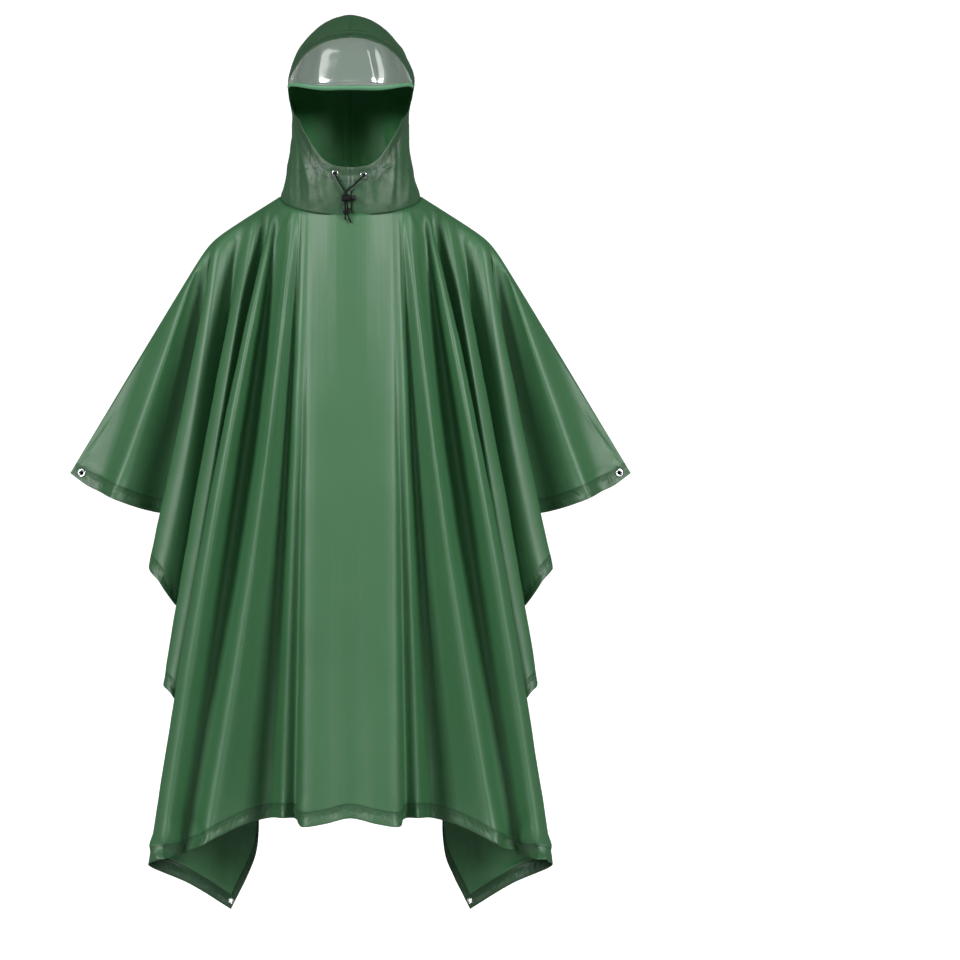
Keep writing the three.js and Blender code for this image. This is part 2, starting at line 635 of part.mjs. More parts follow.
// Drawstring: each strand comes out of its eyelet, passes the lock and ends in a tail below the
// knot.
const at = (x, y, z) => new THREE.Vector3(x, y, z);
for (const where of ["left", "right"]) {
  const { point, normal } = hoodPlaces[where];
  const x = strandX[where];
  const out = (reach) => point.clone().addScaledVector(normal, reach);
  const turned = out(strand.turn).add(at(0, 0, -strand.turnDown));
  const top = lock.z + lock.radius + seamGap;
  const upper = [
    out(strand.behind),
    out(0),
    out(strand.ahead),
    turned,
    turned.clone().lerp(at(x, lock.y, top), 0.5).add(at(0, -strand.slack, 0)),
    at(x, lock.y, top + strand.upright),
    at(x, lock.y, top),
  ];
  addMesh(`drawstring_${where}`, cordGeometry(upper), "cord");
  const bottom = lock.z - lock.radius - seamGap;
  const knotTop = knot.z + knot.height / 2 + seamGap * 1.5;
  const near = knot.x + Math.sign(x - knot.x) * cord.diameter * atKnot.aside;
  const lower = [
    at(x, lock.y, bottom),
    at(lerp(x, near, 0.5), lerp(lock.y, knot.y, 0.5), lerp(bottom, knotTop, 0.5)),
    at(near, knot.y, knotTop),
  ];
  addMesh(`drawstring_${where}_low`, cordGeometry(lower), "cord");
  const knotLow = knot.z - knot.height / 2 - seamGap * 1.5;
  const tail = tails[where];
  const end = [
    at(near, knot.y, knotLow),
    at(lerp(near, tail.x, 0.5), knot.y + atKnot.tailBack / 3, lerp(knotLow, tail.z, 0.5)),
    at(tail.x, knot.y + atKnot.tailBack, tail.z),
  ];
  addMesh(`tail_${where}`, cordGeometry(end), "cord");
}

// Turned solid about the X axis, from pairs of radius and place along X.
function turnedAlongX(pairs, sides) {
  const profile = pairs.map(([radius, x]) => new THREE.Vector2(radius, x));
  return new THREE.LatheGeometry(profile, sides).rotateZ(-Math.PI / 2);
}

const lockStart = lock.endX - lock.length;
const barrel = turnedAlongX(
  [
    [0, lockStart],
    [lock.radius - lock.roundEnd, lockStart],
    [lock.radius, lockStart + lock.roundEnd],
    [lock.radius, lock.endX - lock.roundMouth],
    [lock.radius - lock.roundMouth, lock.endX],
    [lock.bore, lock.endX],
    [lock.bore, lock.endX - lock.boreDepth],
    [0, lock.endX - lock.boreDepth],
  ],
  lock.sides,
);
addMesh("cord_lock", barrel.translate(0, lock.y, lock.z), "lockPlastic");

const headStart = lock.endX + plunger.travel + seamGap;
const headEnd = headStart + plunger.headLength;
const button = turnedAlongX(
  [
    [0, headStart - plunger.stemLength],
    [plunger.stemRadius, headStart - plunger.stemLength],
    [plunger.stemRadius, headStart],
    [plunger.headRadius, headStart],
    [plunger.headRadius, headEnd - plunger.roundHead],
    [plunger.headRadius - plunger.roundHead, headEnd],
    [0, headEnd],
  ],
  lock.sides,
);
addMesh("plunger", button.translate(0, lock.y, lock.z), "lockPlastic");

const knotProfile = Array.from({ length: 7 }, (_, i) => {
  const angle = (i / 6 - 0.5) * Math.PI;
  return new THREE.Vector2(knot.radius * Math.cos(angle), (knot.height / 2) * Math.sin(angle));
});
knotProfile[0].x = 0;
knotProfile[6].x = 0;
const knotBody = new THREE.LatheGeometry(knotProfile, knot.sides).rotateX(Math.PI / 2);
addMesh("knot", knotBody.translate(knot.x, knot.y, knot.z), "cord");

export default part;
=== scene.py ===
import math

import bmesh
import bpy
import numpy as np
from mathutils import Matrix, Vector, noise


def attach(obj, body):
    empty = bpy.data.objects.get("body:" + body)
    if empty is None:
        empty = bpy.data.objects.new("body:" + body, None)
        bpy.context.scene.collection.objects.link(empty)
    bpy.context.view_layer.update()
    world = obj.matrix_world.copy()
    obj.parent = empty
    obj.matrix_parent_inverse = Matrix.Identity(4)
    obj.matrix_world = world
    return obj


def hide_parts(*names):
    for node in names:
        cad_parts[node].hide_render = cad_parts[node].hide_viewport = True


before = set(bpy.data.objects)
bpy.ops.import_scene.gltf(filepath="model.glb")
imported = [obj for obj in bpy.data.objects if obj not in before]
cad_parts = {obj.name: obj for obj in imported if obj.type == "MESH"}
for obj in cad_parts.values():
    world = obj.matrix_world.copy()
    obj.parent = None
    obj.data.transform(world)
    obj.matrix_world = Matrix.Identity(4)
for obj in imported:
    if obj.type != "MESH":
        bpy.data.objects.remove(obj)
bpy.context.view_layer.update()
mm = 0.001

# Camera, floor and lights
stageSizes = {
    "distance": 5.0,
    "eyeHeight": -0.4335,
    "frameWidth": 1.632,
    "sensor": 36.0,
    "shift": (0.1349, -0.0208),
    "floorHeight": -1.33,
    "floorReach": 9.0,
    "wallAt": 6.4,
    "coveRadius": 1.2,
    "worldStrength": 0.05,
}
softboxes = {
    "leftBox": {"place": (-3.7, -3.1, 1.7), "size": (1.3, 2.2), "power": 225},
    "rightBox": {"place": (3.7, -3.1, 1.7), "size": (1.3, 2.2), "power": 225},
    "frontBox": {"place": (0.0, -5.4, 1.6), "size": (2.4, 1.6), "power": 48},
    "backLeft": {"place": (-2.2, 4.6, 1.5), "size": (1.3, 2.2), "power": 150},
    "backRight": {"place": (2.2, 4.6, 1.5), "size": (1.3, 2.2), "power": 100},
}
# Tall cards that show as reflections alone, on the clear film, the metal and the cloth's sheen
reflectors = {
    "leftCard": {"place": (-3.0, -2.0, 3.7), "size": (1.3, 3.8), "power": 20},
    "rightCard": {"place": (3.1, -2.0, 3.6), "size": (1.0, 3.8), "power": 16},
}


def setUpCamera():
    lens = stageSizes["sensor"] * stageSizes["distance"] / stageSizes["frameWidth"]
    camera = bpy.data.objects.new("camera", bpy.data.cameras.new("camera"))
    camera.data.sensor_width = stageSizes["sensor"]
    camera.data.lens = lens
    camera.data.shift_x, camera.data.shift_y = stageSizes["shift"]
    camera.location = (0, -stageSizes["distance"], stageSizes["eyeHeight"])
    camera.rotation_euler = (math.pi / 2, 0, 0)
    bpy.context.scene.collection.objects.link(camera)
    bpy.context.scene.camera = camera


def setUpLights():
    aim = Vector((0, 0, -0.35))
    for name, box in {**softboxes, **reflectors}.items():
        light = bpy.data.lights.new(name, "AREA")
        light.shape = "RECTANGLE"
        light.size, light.size_y = box["size"]
        light.energy = box["power"]
        lamp = bpy.data.objects.new(name, light)
        lamp.location = box["place"]
        lamp.visible_diffuse = name not in reflectors
        lamp.visible_glossy = name not in ("frontBox", "backLeft", "backRight")
        lamp.rotation_euler = (aim - lamp.location).to_track_quat("-Z", "Y").to_euler()
        bpy.context.scene.collection.objects.link(lamp)
    world = bpy.data.worlds.new("studio")
    world.use_nodes = True
    background = world.node_tree.nodes["Background"]
    background.inputs["Color"].default_value = (1, 1, 1, 1)
    # The camera sees a white room, the cloth is lit by a dim one
    seen = world.node_tree.nodes.new("ShaderNodeLightPath")
    strength = world.node_tree.nodes.new("ShaderNodeMapRange")
    strength.inputs["To Min"].default_value = stageSizes["worldStrength"]
    strength.inputs["To Max"].default_value = 1
    world.node_tree.links.new(seen.outputs["Is Camera Ray"], strength.inputs["Value"])
    world.node_tree.links.new(strength.outputs["Result"], background.inputs["Strength"])
    bpy.context.scene.world = world
    bpy.context.scene.view_settings.view_transform = "Standard"


def studioFloor():
    # Floor that turns up into the back wall
    bm = bmesh.new()
    reach, low = stageSizes["floorReach"], stageSizes["floorHeight"]
    wall, radius = stageSizes["wallAt"], stageSizes["coveRadius"]
    path = [(-reach, low), (wall - radius, low)]
    for step in range(1, 13):
        angle = math.radians(90 * step / 12)
        across = wall - radius + radius * math.sin(angle)
        path.append((across, low + radius * (1 - math.cos(angle))))
    path.append((wall, low + reach))
    line = [bm.verts.new((-reach, y, z)) for y, z in path]
    edges = [bm.edges.new(pair) for pair in zip(line, line[1:])]
    grown = bmesh.ops.extrude_edge_only(bm, edges=edges)["geom"]
    moved = [v for v in grown if isinstance(v, bmesh.types.BMVert)]
    bmesh.ops.translate(bm, vec=(2 * reach, 0, 0), verts=moved)
    mesh = bpy.data.meshes.new("floor")
    bm.to_mesh(mesh)
    bm.free()
    for face in mesh.polygons:
        face.use_smooth = True
    floor = bpy.data.objects.new("floor", mesh)
    bpy.context.scene.collection.objects.link(floor)
    paper = bpy.data.materials.new("studioPaper")
    paper.use_nodes = True
    shader = paper.node_tree.nodes["Principled BSDF"]
    shader.inputs["Base Color"].default_value = (0.3, 0.3, 0.3, 1)
    shader.inputs["Roughness"].default_value = 0.9
    shader.inputs["Emission Color"].default_value = (1, 1, 1, 1)
    # The paper glows for the camera alone, so it doesn't light the cloth from behind
    seen = paper.node_tree.nodes.new("ShaderNodeLightPath")
    glow = paper.node_tree.nodes.new("ShaderNodeMath")
    glow.operation = "MULTIPLY"
    glow.inputs[1].default_value = 1.0
    paper.node_tree.links.new(seen.outputs["Is Camera Ray"], glow.inputs[0])
    paper.node_tree.links.new(glow.outputs[0], shader.inputs["Emission Strength"])
    mesh.materials.append(paper)


setUpCamera()
setUpLights()
studioFloor()
print("stage ready")

# Materials
clothLook = {
    "colour": (0.025, 0.112, 0.038, 1),
    "light": (0.031, 0.132, 0.046, 1),
    "roughness": 0.55,
    "specular": 0.85,
    "inside": (0.034, 0.155, 0.053, 1),
    # Painted shade: the turned hem's inside is the inside cloth's green, painted darker
    "hemInsidePaintedShade": (0.017, 0.078, 0.028, 1),
    "insideRoughness": 0.5,
    "insideSpecular": 0.45,
    "binding": (0.10, 0.30, 0.15, 1),
    "threadsPerMetre": 2600,
    "threadDepth": 0.10,
    "crinkleSize": 60,
    "crinkleDepth": 0.12,
    # Painted shade: the hood's outside colours are the body cloth's green, painted darker
    "hoodShadedColour": (0.017, 0.070, 0.025, 1),
    "hoodShadedTone": (0.022, 0.086, 0.031, 1),
    # Painted light: the hood's inside colour is the inside cloth's green, painted lighter
    "hoodInsidePaintedLight": (0.062, 0.25, 0.088, 1),
    "hoodCrinkle": 4.5,
    # Painted shade: the band of the hem is darkened by this factor
    "hemPaintedShade": 0.8,
    "hemWidth": 0.0245,
    "stitchLine": 0.0232,
    "stitchReach": 0.0016,
    # Painted shade: a narrow band along the stitch line is darkened by this factor, standing in for
    # the shade of its puckers
    "stitchPaintedShade": 0.45,
    "puckerLine": 0.014,
    "puckerReach": 0.012,
    "puckerDepth": 0.7,
    "streakDepth": 0.6,
    "thread": (0.045, 0.17, 0.07, 1),
}


def makeSocket(group, name, kind, way, value=None):
    socket = group.interface.new_socket(name=name, in_out=way, socket_type=kind)
    if value is not None:
        socket.default_value = value
    return socket


def wovenGroup():
    # Fine plain weave on the cloth's own map, and the soft crinkle of coated cloth
    group = bpy.data.node_groups.new("coatedWeave", "ShaderNodeTree")
    makeSocket(group, "threads", "NodeSocketFloat", "INPUT", 2600.0)
    makeSocket(group, "crinkle", "NodeSocketFloat", "INPUT", 60.0)
    makeSocket(group, "weave", "NodeSocketFloat", "OUTPUT")
    makeSocket(group, "wrinkle", "NodeSocketFloat", "OUTPUT")
    makeSocket(group, "tone", "NodeSocketFloat", "OUTPUT")
    makeSocket(group, "hem", "NodeSocketFloat", "OUTPUT")
    makeSocket(group, "stitchShadeBand", "NodeSocketFloat", "OUTPUT")
    makeSocket(group, "pucker", "NodeSocketFloat", "OUTPUT")
    makeSocket(group, "streak", "NodeSocketFloat", "OUTPUT")
    nodes, links = group.nodes, group.links
    given = nodes.new("NodeGroupInput")
    out = nodes.new("NodeGroupOutput")
    cut = nodes.new("ShaderNodeUVMap")
    cut.uv_map = "cut"
    split = nodes.new("ShaderNodeSeparateXYZ")
    links.new(cut.outputs["UV"], split.inputs[0])
    waves = []
    for axis in ("X", "Y"):
        scaled = nodes.new("ShaderNodeMath")
        scaled.operation = "MULTIPLY"
        links.new(split.outputs[axis], scaled.inputs[0])
        links.new(given.outputs["threads"], scaled.inputs[1])
        wave = nodes.new("ShaderNodeMath")
        wave.operation = "SINE"
        links.new(scaled.outputs[0], wave.inputs[0])
        waves.append(wave)
    over = nodes.new("ShaderNodeMath")
    over.operation = "MULTIPLY"
    links.new(waves[0].outputs[0], over.inputs[0])
    links.new(waves[1].outputs[0], over.inputs[1])
    links.new(over.outputs[0], out.inputs["weave"])
    place = nodes.new("ShaderNodeTexCoord")
    fine = nodes.new("ShaderNodeTexNoise")
    fine.inputs["Detail"].default_value = 3
    fine.inputs["Roughness"].default_value = 0.45
    links.new(place.outputs["Object"], fine.inputs["Vector"])
    links.new(given.outputs["crinkle"], fine.inputs["Scale"])
    links.new(fine.outputs["Fac"], out.inputs["wrinkle"])
    broad = nodes.new("ShaderNodeTexNoise")
    broad.inputs["Scale"].default_value = 5
    broad.inputs["Detail"].default_value = 2
    links.new(place.outputs["Object"], broad.inputs["Vector"])
    links.new(broad.outputs["Fac"], out.inputs["tone"])
    # The map's second value is the distance from the lower or free edge
    # Mask of the hem band, used to paint shade on it
    turned = nodes.new("ShaderNodeMapRange")
    turned.inputs["From Min"].default_value = clothLook["hemWidth"] + 0.4 * mm
    turned.inputs["From Max"].default_value = clothLook["hemWidth"] - 0.4 * mm
    links.new(split.outputs["Y"], turned.inputs["Value"])
    links.new(turned.outputs["Result"], out.inputs["hem"])
    # Bands along the pucker line and the stitch line; the stitch band paints shade along the stitches
    bands = []
    for line in ("pucker", "stitch"):
        away = nodes.new("ShaderNodeMath")
        away.operation = "SUBTRACT"
        away.inputs[1].default_value = clothLook[line + "Line"]
        links.new(split.outputs["Y"], away.inputs[0])
        distance = nodes.new("ShaderNodeMath")
        distance.operation = "ABSOLUTE"
        links.new(away.outputs[0], distance.inputs[0])
        seam = nodes.new("ShaderNodeMapRange")
        seam.interpolation_type = "SMOOTHSTEP"
        seam.inputs["From Max"].default_value = clothLook[line + "Reach"]
        seam.inputs["To Min"].default_value = 1
        seam.inputs["To Max"].default_value = 0
        links.new(distance.outputs[0], seam.inputs["Value"])
        bands.append(seam)
    links.new(bands[1].outputs["Result"], out.inputs["stitchShadeBand"])
    for name, scale, detail in (("pucker", (95, 60, 1), 3), ("streak", (34, 1.4, 1), 3)):
        stretched = nodes.new("ShaderNodeVectorMath")
        stretched.operation = "MULTIPLY"
        stretched.inputs[1].default_value = scale
        links.new(cut.outputs["UV"], stretched.inputs[0])
        lines = nodes.new("ShaderNodeTexNoise")
        lines.inputs["Scale"].default_value = 1
        lines.inputs["Detail"].default_value = detail
        links.new(stretched.outputs[0], lines.inputs["Vector"])
        if name == "streak":
            links.new(lines.outputs["Fac"], out.inputs["streak"])
            continue
        drawn = nodes.new("ShaderNodeMath")
        drawn.operation = "MULTIPLY"
        links.new(lines.outputs["Fac"], drawn.inputs[0])
        links.new(bands[0].outputs["Result"], drawn.inputs[1])
        links.new(drawn.outputs[0], out.inputs["pucker"])
    return group


weaveGroup = wovenGroup()


def coatedCloth(name, colour, light, roughness, crinkled=1.0):
    made = bpy.data.materials.new(name)
    made.use_nodes = True
    nodes, links = made.node_tree.nodes, made.node_tree.links
    shader = nodes["Principled BSDF"]
    cloth = nodes.new("ShaderNodeGroup")
    cloth.node_tree = weaveGroup
    cloth.inputs["threads"].default_value = clothLook["threadsPerMetre"] * math.pi
    cloth.inputs["crinkle"].default_value = clothLook["crinkleSize"]
    tint = nodes.new("ShaderNodeMix")
    tint.data_type = "RGBA"
    tint.inputs["A"].default_value = colour
    tint.inputs["B"].default_value = light
    links.new(cloth.outputs["tone"], tint.inputs["Factor"])
    # Painted shade: the hem band's colour is darkened
    shade = nodes.new("ShaderNodeMapRange")
    shade.inputs["To Min"].default_value = 1
    shade.inputs["To Max"].default_value = clothLook["hemPaintedShade"]
    links.new(cloth.outputs["hem"], shade.inputs["Value"])
    # Painted shade: a narrow band along the stitch line is darkened, for the shade of the puckers
    # there
    stitchShadeBand = nodes.new("ShaderNodeMapRange")
    stitchShadeBand.inputs["To Min"].default_value = 1
    stitchShadeBand.inputs["To Max"].default_value = clothLook["stitchPaintedShade"]
    links.new(cloth.outputs["stitchShadeBand"], stitchShadeBand.inputs["Value"])
    both = nodes.new("ShaderNodeMath")
    both.operation = "MULTIPLY"
    links.new(shade.outputs["Result"], both.inputs[0])
    links.new(stitchShadeBand.outputs["Result"], both.inputs[1])
    shaded = nodes.new("ShaderNodeVectorMath")
    shaded.operation = "SCALE"
    links.new(tint.outputs["Result"], shaded.inputs[0])
    links.new(both.outputs[0], shaded.inputs["Scale"])
    links.new(shaded.outputs[0], shader.inputs["Base Color"])
    streak = nodes.new("ShaderNodeBump")
    streak.inputs["Strength"].default_value = clothLook["streakDepth"]
    streak.inputs["Distance"].default_value = 2 * mm
    links.new(cloth.outputs["streak"], streak.inputs["Height"])
    pucker = nodes.new("ShaderNodeBump")
    pucker.inputs["Strength"].default_value = clothLook["puckerDepth"]
    pucker.inputs["Distance"].default_value = 5 * mm
    pucker.invert = True
    links.new(cloth.outputs["pucker"], pucker.inputs["Height"])
    links.new(streak.outputs["Normal"], pucker.inputs["Normal"])
    crinkle = nodes.new("ShaderNodeBump")
    links.new(pucker.outputs["Normal"], crinkle.inputs["Normal"])
    crinkle.inputs["Strength"].default_value = clothLook["crinkleDepth"] * crinkled
    crinkle.inputs["Distance"].default_value = 2 * mm
    links.new(cloth.outputs["wrinkle"], crinkle.inputs["Height"])
    threads = nodes.new("ShaderNodeBump")
    threads.inputs["Strength"].default_value = clothLook["threadDepth"]
    threads.inputs["Distance"].default_value = 0.1 * mm
    links.new(cloth.outputs["weave"], threads.inputs["Height"])
    links.new(crinkle.outputs["Normal"], threads.inputs["Normal"])
    links.new(threads.outputs["Normal"], shader.inputs["Normal"])
    shader.inputs["Roughness"].default_value = roughness
    shader.inputs["Specular IOR Level"].default_value = clothLook["specular"]
    return made


clothOutside = coatedCloth(
    "clothOutside", clothLook["colour"], clothLook["light"], clothLook["roughness"]
)
clothInside = coatedCloth(
    "clothInside", clothLook["inside"], clothLook["colour"], clothLook["insideRoughness"]
)
# The turned hem, painted darker than the rest of the inside as painted shade
hemInsidePaintedShade = coatedCloth(
    "hemInsidePaintedShade", clothLook["hemInsidePaintedShade"], clothLook["hemInsidePaintedShade"], clothLook["insideRoughness"]
)
# The hood's inside, painted lighter than the body's inside as painted light
hoodInsidePaintedLight = coatedCloth(
    "hoodInsidePaintedLight", clothLook["hoodInsidePaintedLight"], clothLook["hoodInsidePaintedLight"], clothLook["insideRoughness"]
)
# The hood's outside: the body cloth's green with painted shade, darker than the body
hoodOutsidePaintedShade = coatedCloth(
    "hoodOutsidePaintedShade", clothLook["hoodShadedColour"], clothLook["hoodShadedTone"], clothLook["roughness"],
    clothLook["hoodCrinkle"],
)
clothBinding = coatedCloth(
    "clothBinding", clothLook["binding"], clothLook["binding"], clothLook["roughness"]
)
# The coating's inside is duller than its outside
for dull in (clothInside, hemInsidePaintedShade, hoodInsidePaintedLight):
    shader = dull.node_tree.nodes["Principled BSDF"]
    shader.inputs["Specular IOR Level"].default_value = clothLook["insideSpecular"]


def clearFilm():
    made = bpy.data.materials.new("visorClear")
    made.use_nodes = True
    nodes, links = made.node_tree.nodes, made.node_tree.links
    shader = nodes["Principled BSDF"]
    shader.inputs["Base Color"].default_value = (0.46, 0.57, 0.49, 1)
    shader.inputs["Transmission Weight"].default_value = 0.6
    shader.inputs["IOR"].default_value = 1.52
    shader.inputs["Roughness"].default_value = 0.14
    shader.inputs["Coat Weight"].default_value = 1
    shader.inputs["Coat IOR"].default_value = 2.8
    shader.inputs["Coat Roughness"].default_value = 0.15
    place = nodes.new("ShaderNodeTexCoord")
    haze = nodes.new("ShaderNodeTexNoise")
    haze.inputs["Scale"].default_value = 14
    haze.inputs["Detail"].default_value = 2
    links.new(place.outputs["Object"], haze.inputs["Vector"])
    ripple = nodes.new("ShaderNodeBump")
    ripple.inputs["Strength"].default_value = 0.12
    ripple.inputs["Distance"].default_value = 4 * mm
    links.new(haze.outputs["Fac"], ripple.inputs["Height"])
    links.new(ripple.outputs["Normal"], shader.inputs["Normal"])
    return made


def metalFinish():
    made = bpy.data.materials.new("platedMetal")
    made.use_nodes = True
    nodes, links = made.node_tree.nodes, made.node_tree.links
    shader = nodes["Principled BSDF"]
    shader.inputs["Metallic"].default_value = 1
    shader.inputs["Base Color"].default_value = (0.78, 0.79, 0.80, 1)
    place = nodes.new("ShaderNodeTexCoord")
    grain = nodes.new("ShaderNodeTexNoise")
    grain.inputs["Scale"].default_value = 900
    grain.inputs["Detail"].default_value = 3
    links.new(place.outputs["Object"], grain.inputs["Vector"])
    worn = nodes.new("ShaderNodeMapRange")
    worn.inputs["To Min"].default_value = 0.16
    worn.inputs["To Max"].default_value = 0.34
    links.new(grain.outputs["Fac"], worn.inputs["Value"])
    links.new(worn.outputs["Result"], shader.inputs["Roughness"])
    return made


def braidFinish():
    # Two sets of crossing strands on the cord's own map
    made = bpy.data.materials.new("braidedCord")
    made.use_nodes = True
    nodes, links = made.node_tree.nodes, made.node_tree.links
    shader = nodes["Principled BSDF"]
    cut = nodes.new("ShaderNodeUVMap")
    cut.uv_map = "cut"
    waves = []
    for lean in (1, -1):
        along = nodes.new("ShaderNodeVectorMath")
        along.operation = "DOT_PRODUCT"
        along.inputs[1].default_value = (8 * math.pi, lean * 2200, 0)
        links.new(cut.outputs["UV"], along.inputs[0])
        wave = nodes.new("ShaderNodeMath")
        wave.operation = "SINE"
        links.new(along.outputs["Value"], wave.inputs[0])
        waves.append(wave)
    strands = nodes.new("ShaderNodeMath")
    strands.operation = "MULTIPLY"
    links.new(waves[0].outputs[0], strands.inputs[0])
    links.new(waves[1].outputs[0], strands.inputs[1])
    # Painted shade: the cord is darker where the strands sink and lighter where they rise
    tone = nodes.new("ShaderNodeMapRange")
    tone.inputs["From Min"].default_value = -1
    links.new(strands.outputs[0], tone.inputs["Value"])
    tint = nodes.new("ShaderNodeMix")
    tint.data_type = "RGBA"
    tint.inputs["A"].default_value = (0.003, 0.003, 0.003, 1)
    tint.inputs["B"].default_value = (0.012, 0.012, 0.013, 1)
    links.new(tone.outputs["Result"], tint.inputs["Factor"])
    links.new(tint.outputs["Result"], shader.inputs["Base Color"])
    raised = nodes.new("ShaderNodeBump")
    raised.inputs["Strength"].default_value = 0.7
    raised.inputs["Distance"].default_value = 0.3 * mm
    links.new(strands.outputs[0], raised.inputs["Height"])
    links.new(raised.outputs["Normal"], shader.inputs["Normal"])
    shader.inputs["Roughness"].default_value = 0.7
    shader.inputs["Specular IOR Level"].default_value = 0.2
    return made


def mouldedFinish():
    made = bpy.data.materials.new("mouldedPlastic")
    made.use_nodes = True
    nodes, links = made.node_tree.nodes, made.node_tree.links
    shader = nodes["Principled BSDF"]
    shader.inputs["Base Color"].default_value = (0.006, 0.006, 0.007, 1)
    shader.inputs["Specular IOR Level"].default_value = 0.35
    place = nodes.new("ShaderNodeTexCoord")
    grain = nodes.new("ShaderNodeTexNoise")
    grain.inputs["Scale"].default_value = 1400
    grain.inputs["Detail"].default_value = 2
    links.new(place.outputs["Object"], grain.inputs["Vector"])
    satin = nodes.new("ShaderNodeMapRange")
    satin.inputs["To Min"].default_value = 0.32
    satin.inputs["To Max"].default_value = 0.5
    links.new(grain.outputs["Fac"], satin.inputs["Value"])
    links.new(satin.outputs["Result"], shader.inputs["Roughness"])
    etched = nodes.new("ShaderNodeBump")
    etched.inputs["Strength"].default_value = 0.2
    etched.inputs["Distance"].default_value = 0.1 * mm
    links.new(grain.outputs["Fac"], etched.inputs["Height"])
    links.new(etched.outputs["Normal"], shader.inputs["Normal"])
    return made


def threadFinish():
    # Sewing thread: strands twisted across each stitch
    made = bpy.data.materials.new("sewingThread")
    made.use_nodes = True
    nodes, links = made.node_tree.nodes, made.node_tree.links
    shader = nodes["Principled BSDF"]
    place = nodes.new("ShaderNodeTexCoord")
    twist = nodes.new("ShaderNodeTexNoise")
    twist.inputs["Scale"].default_value = 2500
    links.new(place.outputs["Object"], twist.inputs["Vector"])
    tint = nodes.new("ShaderNodeMix")
    tint.data_type = "RGBA"
    tint.inputs["A"].default_value = clothLook["colour"]
    tint.inputs["B"].default_value = clothLook["thread"]
    links.new(twist.outputs["Fac"], tint.inputs["Factor"])
    links.new(tint.outputs["Result"], shader.inputs["Base Color"])
    shader.inputs["Roughness"].default_value = 0.55
    return made


visorClear = clearFilm()
platedMetal = metalFinish()
braidedCord = braidFinish()
mouldedPlastic = mouldedFinish()
sewingThread = threadFinish()
print("materials ready")


def smoothStep(t):
    t = np.clip(t, 0, 1)
    return t * t * (3 - 2 * t)


def mix(a, b, t):
    return a + (b - a) * t


def meshPiece(name, bm, materials):
    mesh = bpy.data.meshes.new(name)
    bm.to_mesh(mesh)
    bm.free()
    for material in materials:
        mesh.materials.append(material)
    piece = bpy.data.objects.new(name, mesh)
    bpy.context.scene.collection.objects.link(piece)
    return piece


# Eyelets: a rolled ring on the cloth's outside and a star of petals on its inside, in millimetres
eyeletSizes = {
    "body": {"hole": 3.2, "outer": 7.2, "roll": 1.7, "petals": 6, "star": 6.9, "play": 0.5},
    "hood": {"hole": 2.5, "outer": 5.3, "roll": 1.4, "petals": 6, "star": 5.2, "play": 0.4},
    "ringSteps": 48,
    "rollSteps": 10,
    "petalHeight": 1.3,
}
eyeletOutwards = {
    "eyelet_front_left": (0, 1, 0),
    "eyelet_front_right": (0, 1, 0),
    "eyelet_back_left": (0, -1, 0),
    "eyelet_back_right": (0, -1, 0),
    "eyelet_front_sleeve_left": (0, -1, 0),
    "eyelet_front_sleeve_right": (0, -1, 0),
    "eyelet_hood_left": (0, -1, 0),
    "eyelet_hood_right": (0, -1, 0),
}


def eyeletPlace(node):
    # Centre and axis of an eyelet, from its solid
    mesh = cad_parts[node].data
    points = np.array([vert.co[:] for vert in mesh.vertices])
    points = np.unique(points.round(6), axis=0)
    centre = (points.min(axis=0) + points.max(axis=0)) / 2
    centre = points.mean(axis=0) * 0.5 + centre * 0.5
    axis = np.linalg.svd(points - points.mean(axis=0))[2][2]
    if axis @ np.array(eyeletOutwards[node]) < 0:
        axis = -axis
    return Vector(centre), Vector(axis)


def flattenAround(points, place, radius):
    # The cloth lies flat in the eyelet's plane near it
    centre, axis = (np.array(v[:]) for v in place)
    centre = centre / mm
    off = points - centre
    lift = off @ axis
    away = np.linalg.norm(off, axis=-1)
    near = 1 - smoothStep((away - radius) / radius)
    near = near * (1 - smoothStep((np.abs(lift) - 8) / 5))
    return points - (lift * near)[..., None] * axis


def openEyelet(bm, place, barrel, reach, cuts):
    # Finer faces round the eyelet and a hole that its ring covers
    centre, axis = place
    near = [e for e in bm.edges if (e.verts[0].co - centre).length < reach * mm]
    if not near:
        return
    bmesh.ops.subdivide_edges(bm, edges=near, cuts=cuts, use_grid_fill=True)
    inside = []
    for face in bm.faces:
        off = face.calc_center_median() - centre
        lift = off.dot(axis)
        if abs(lift) < 4 * mm and (off - axis * lift).length < barrel * mm:
            inside.append(face)
    bmesh.ops.delete(bm, geom=inside, context="FACES")


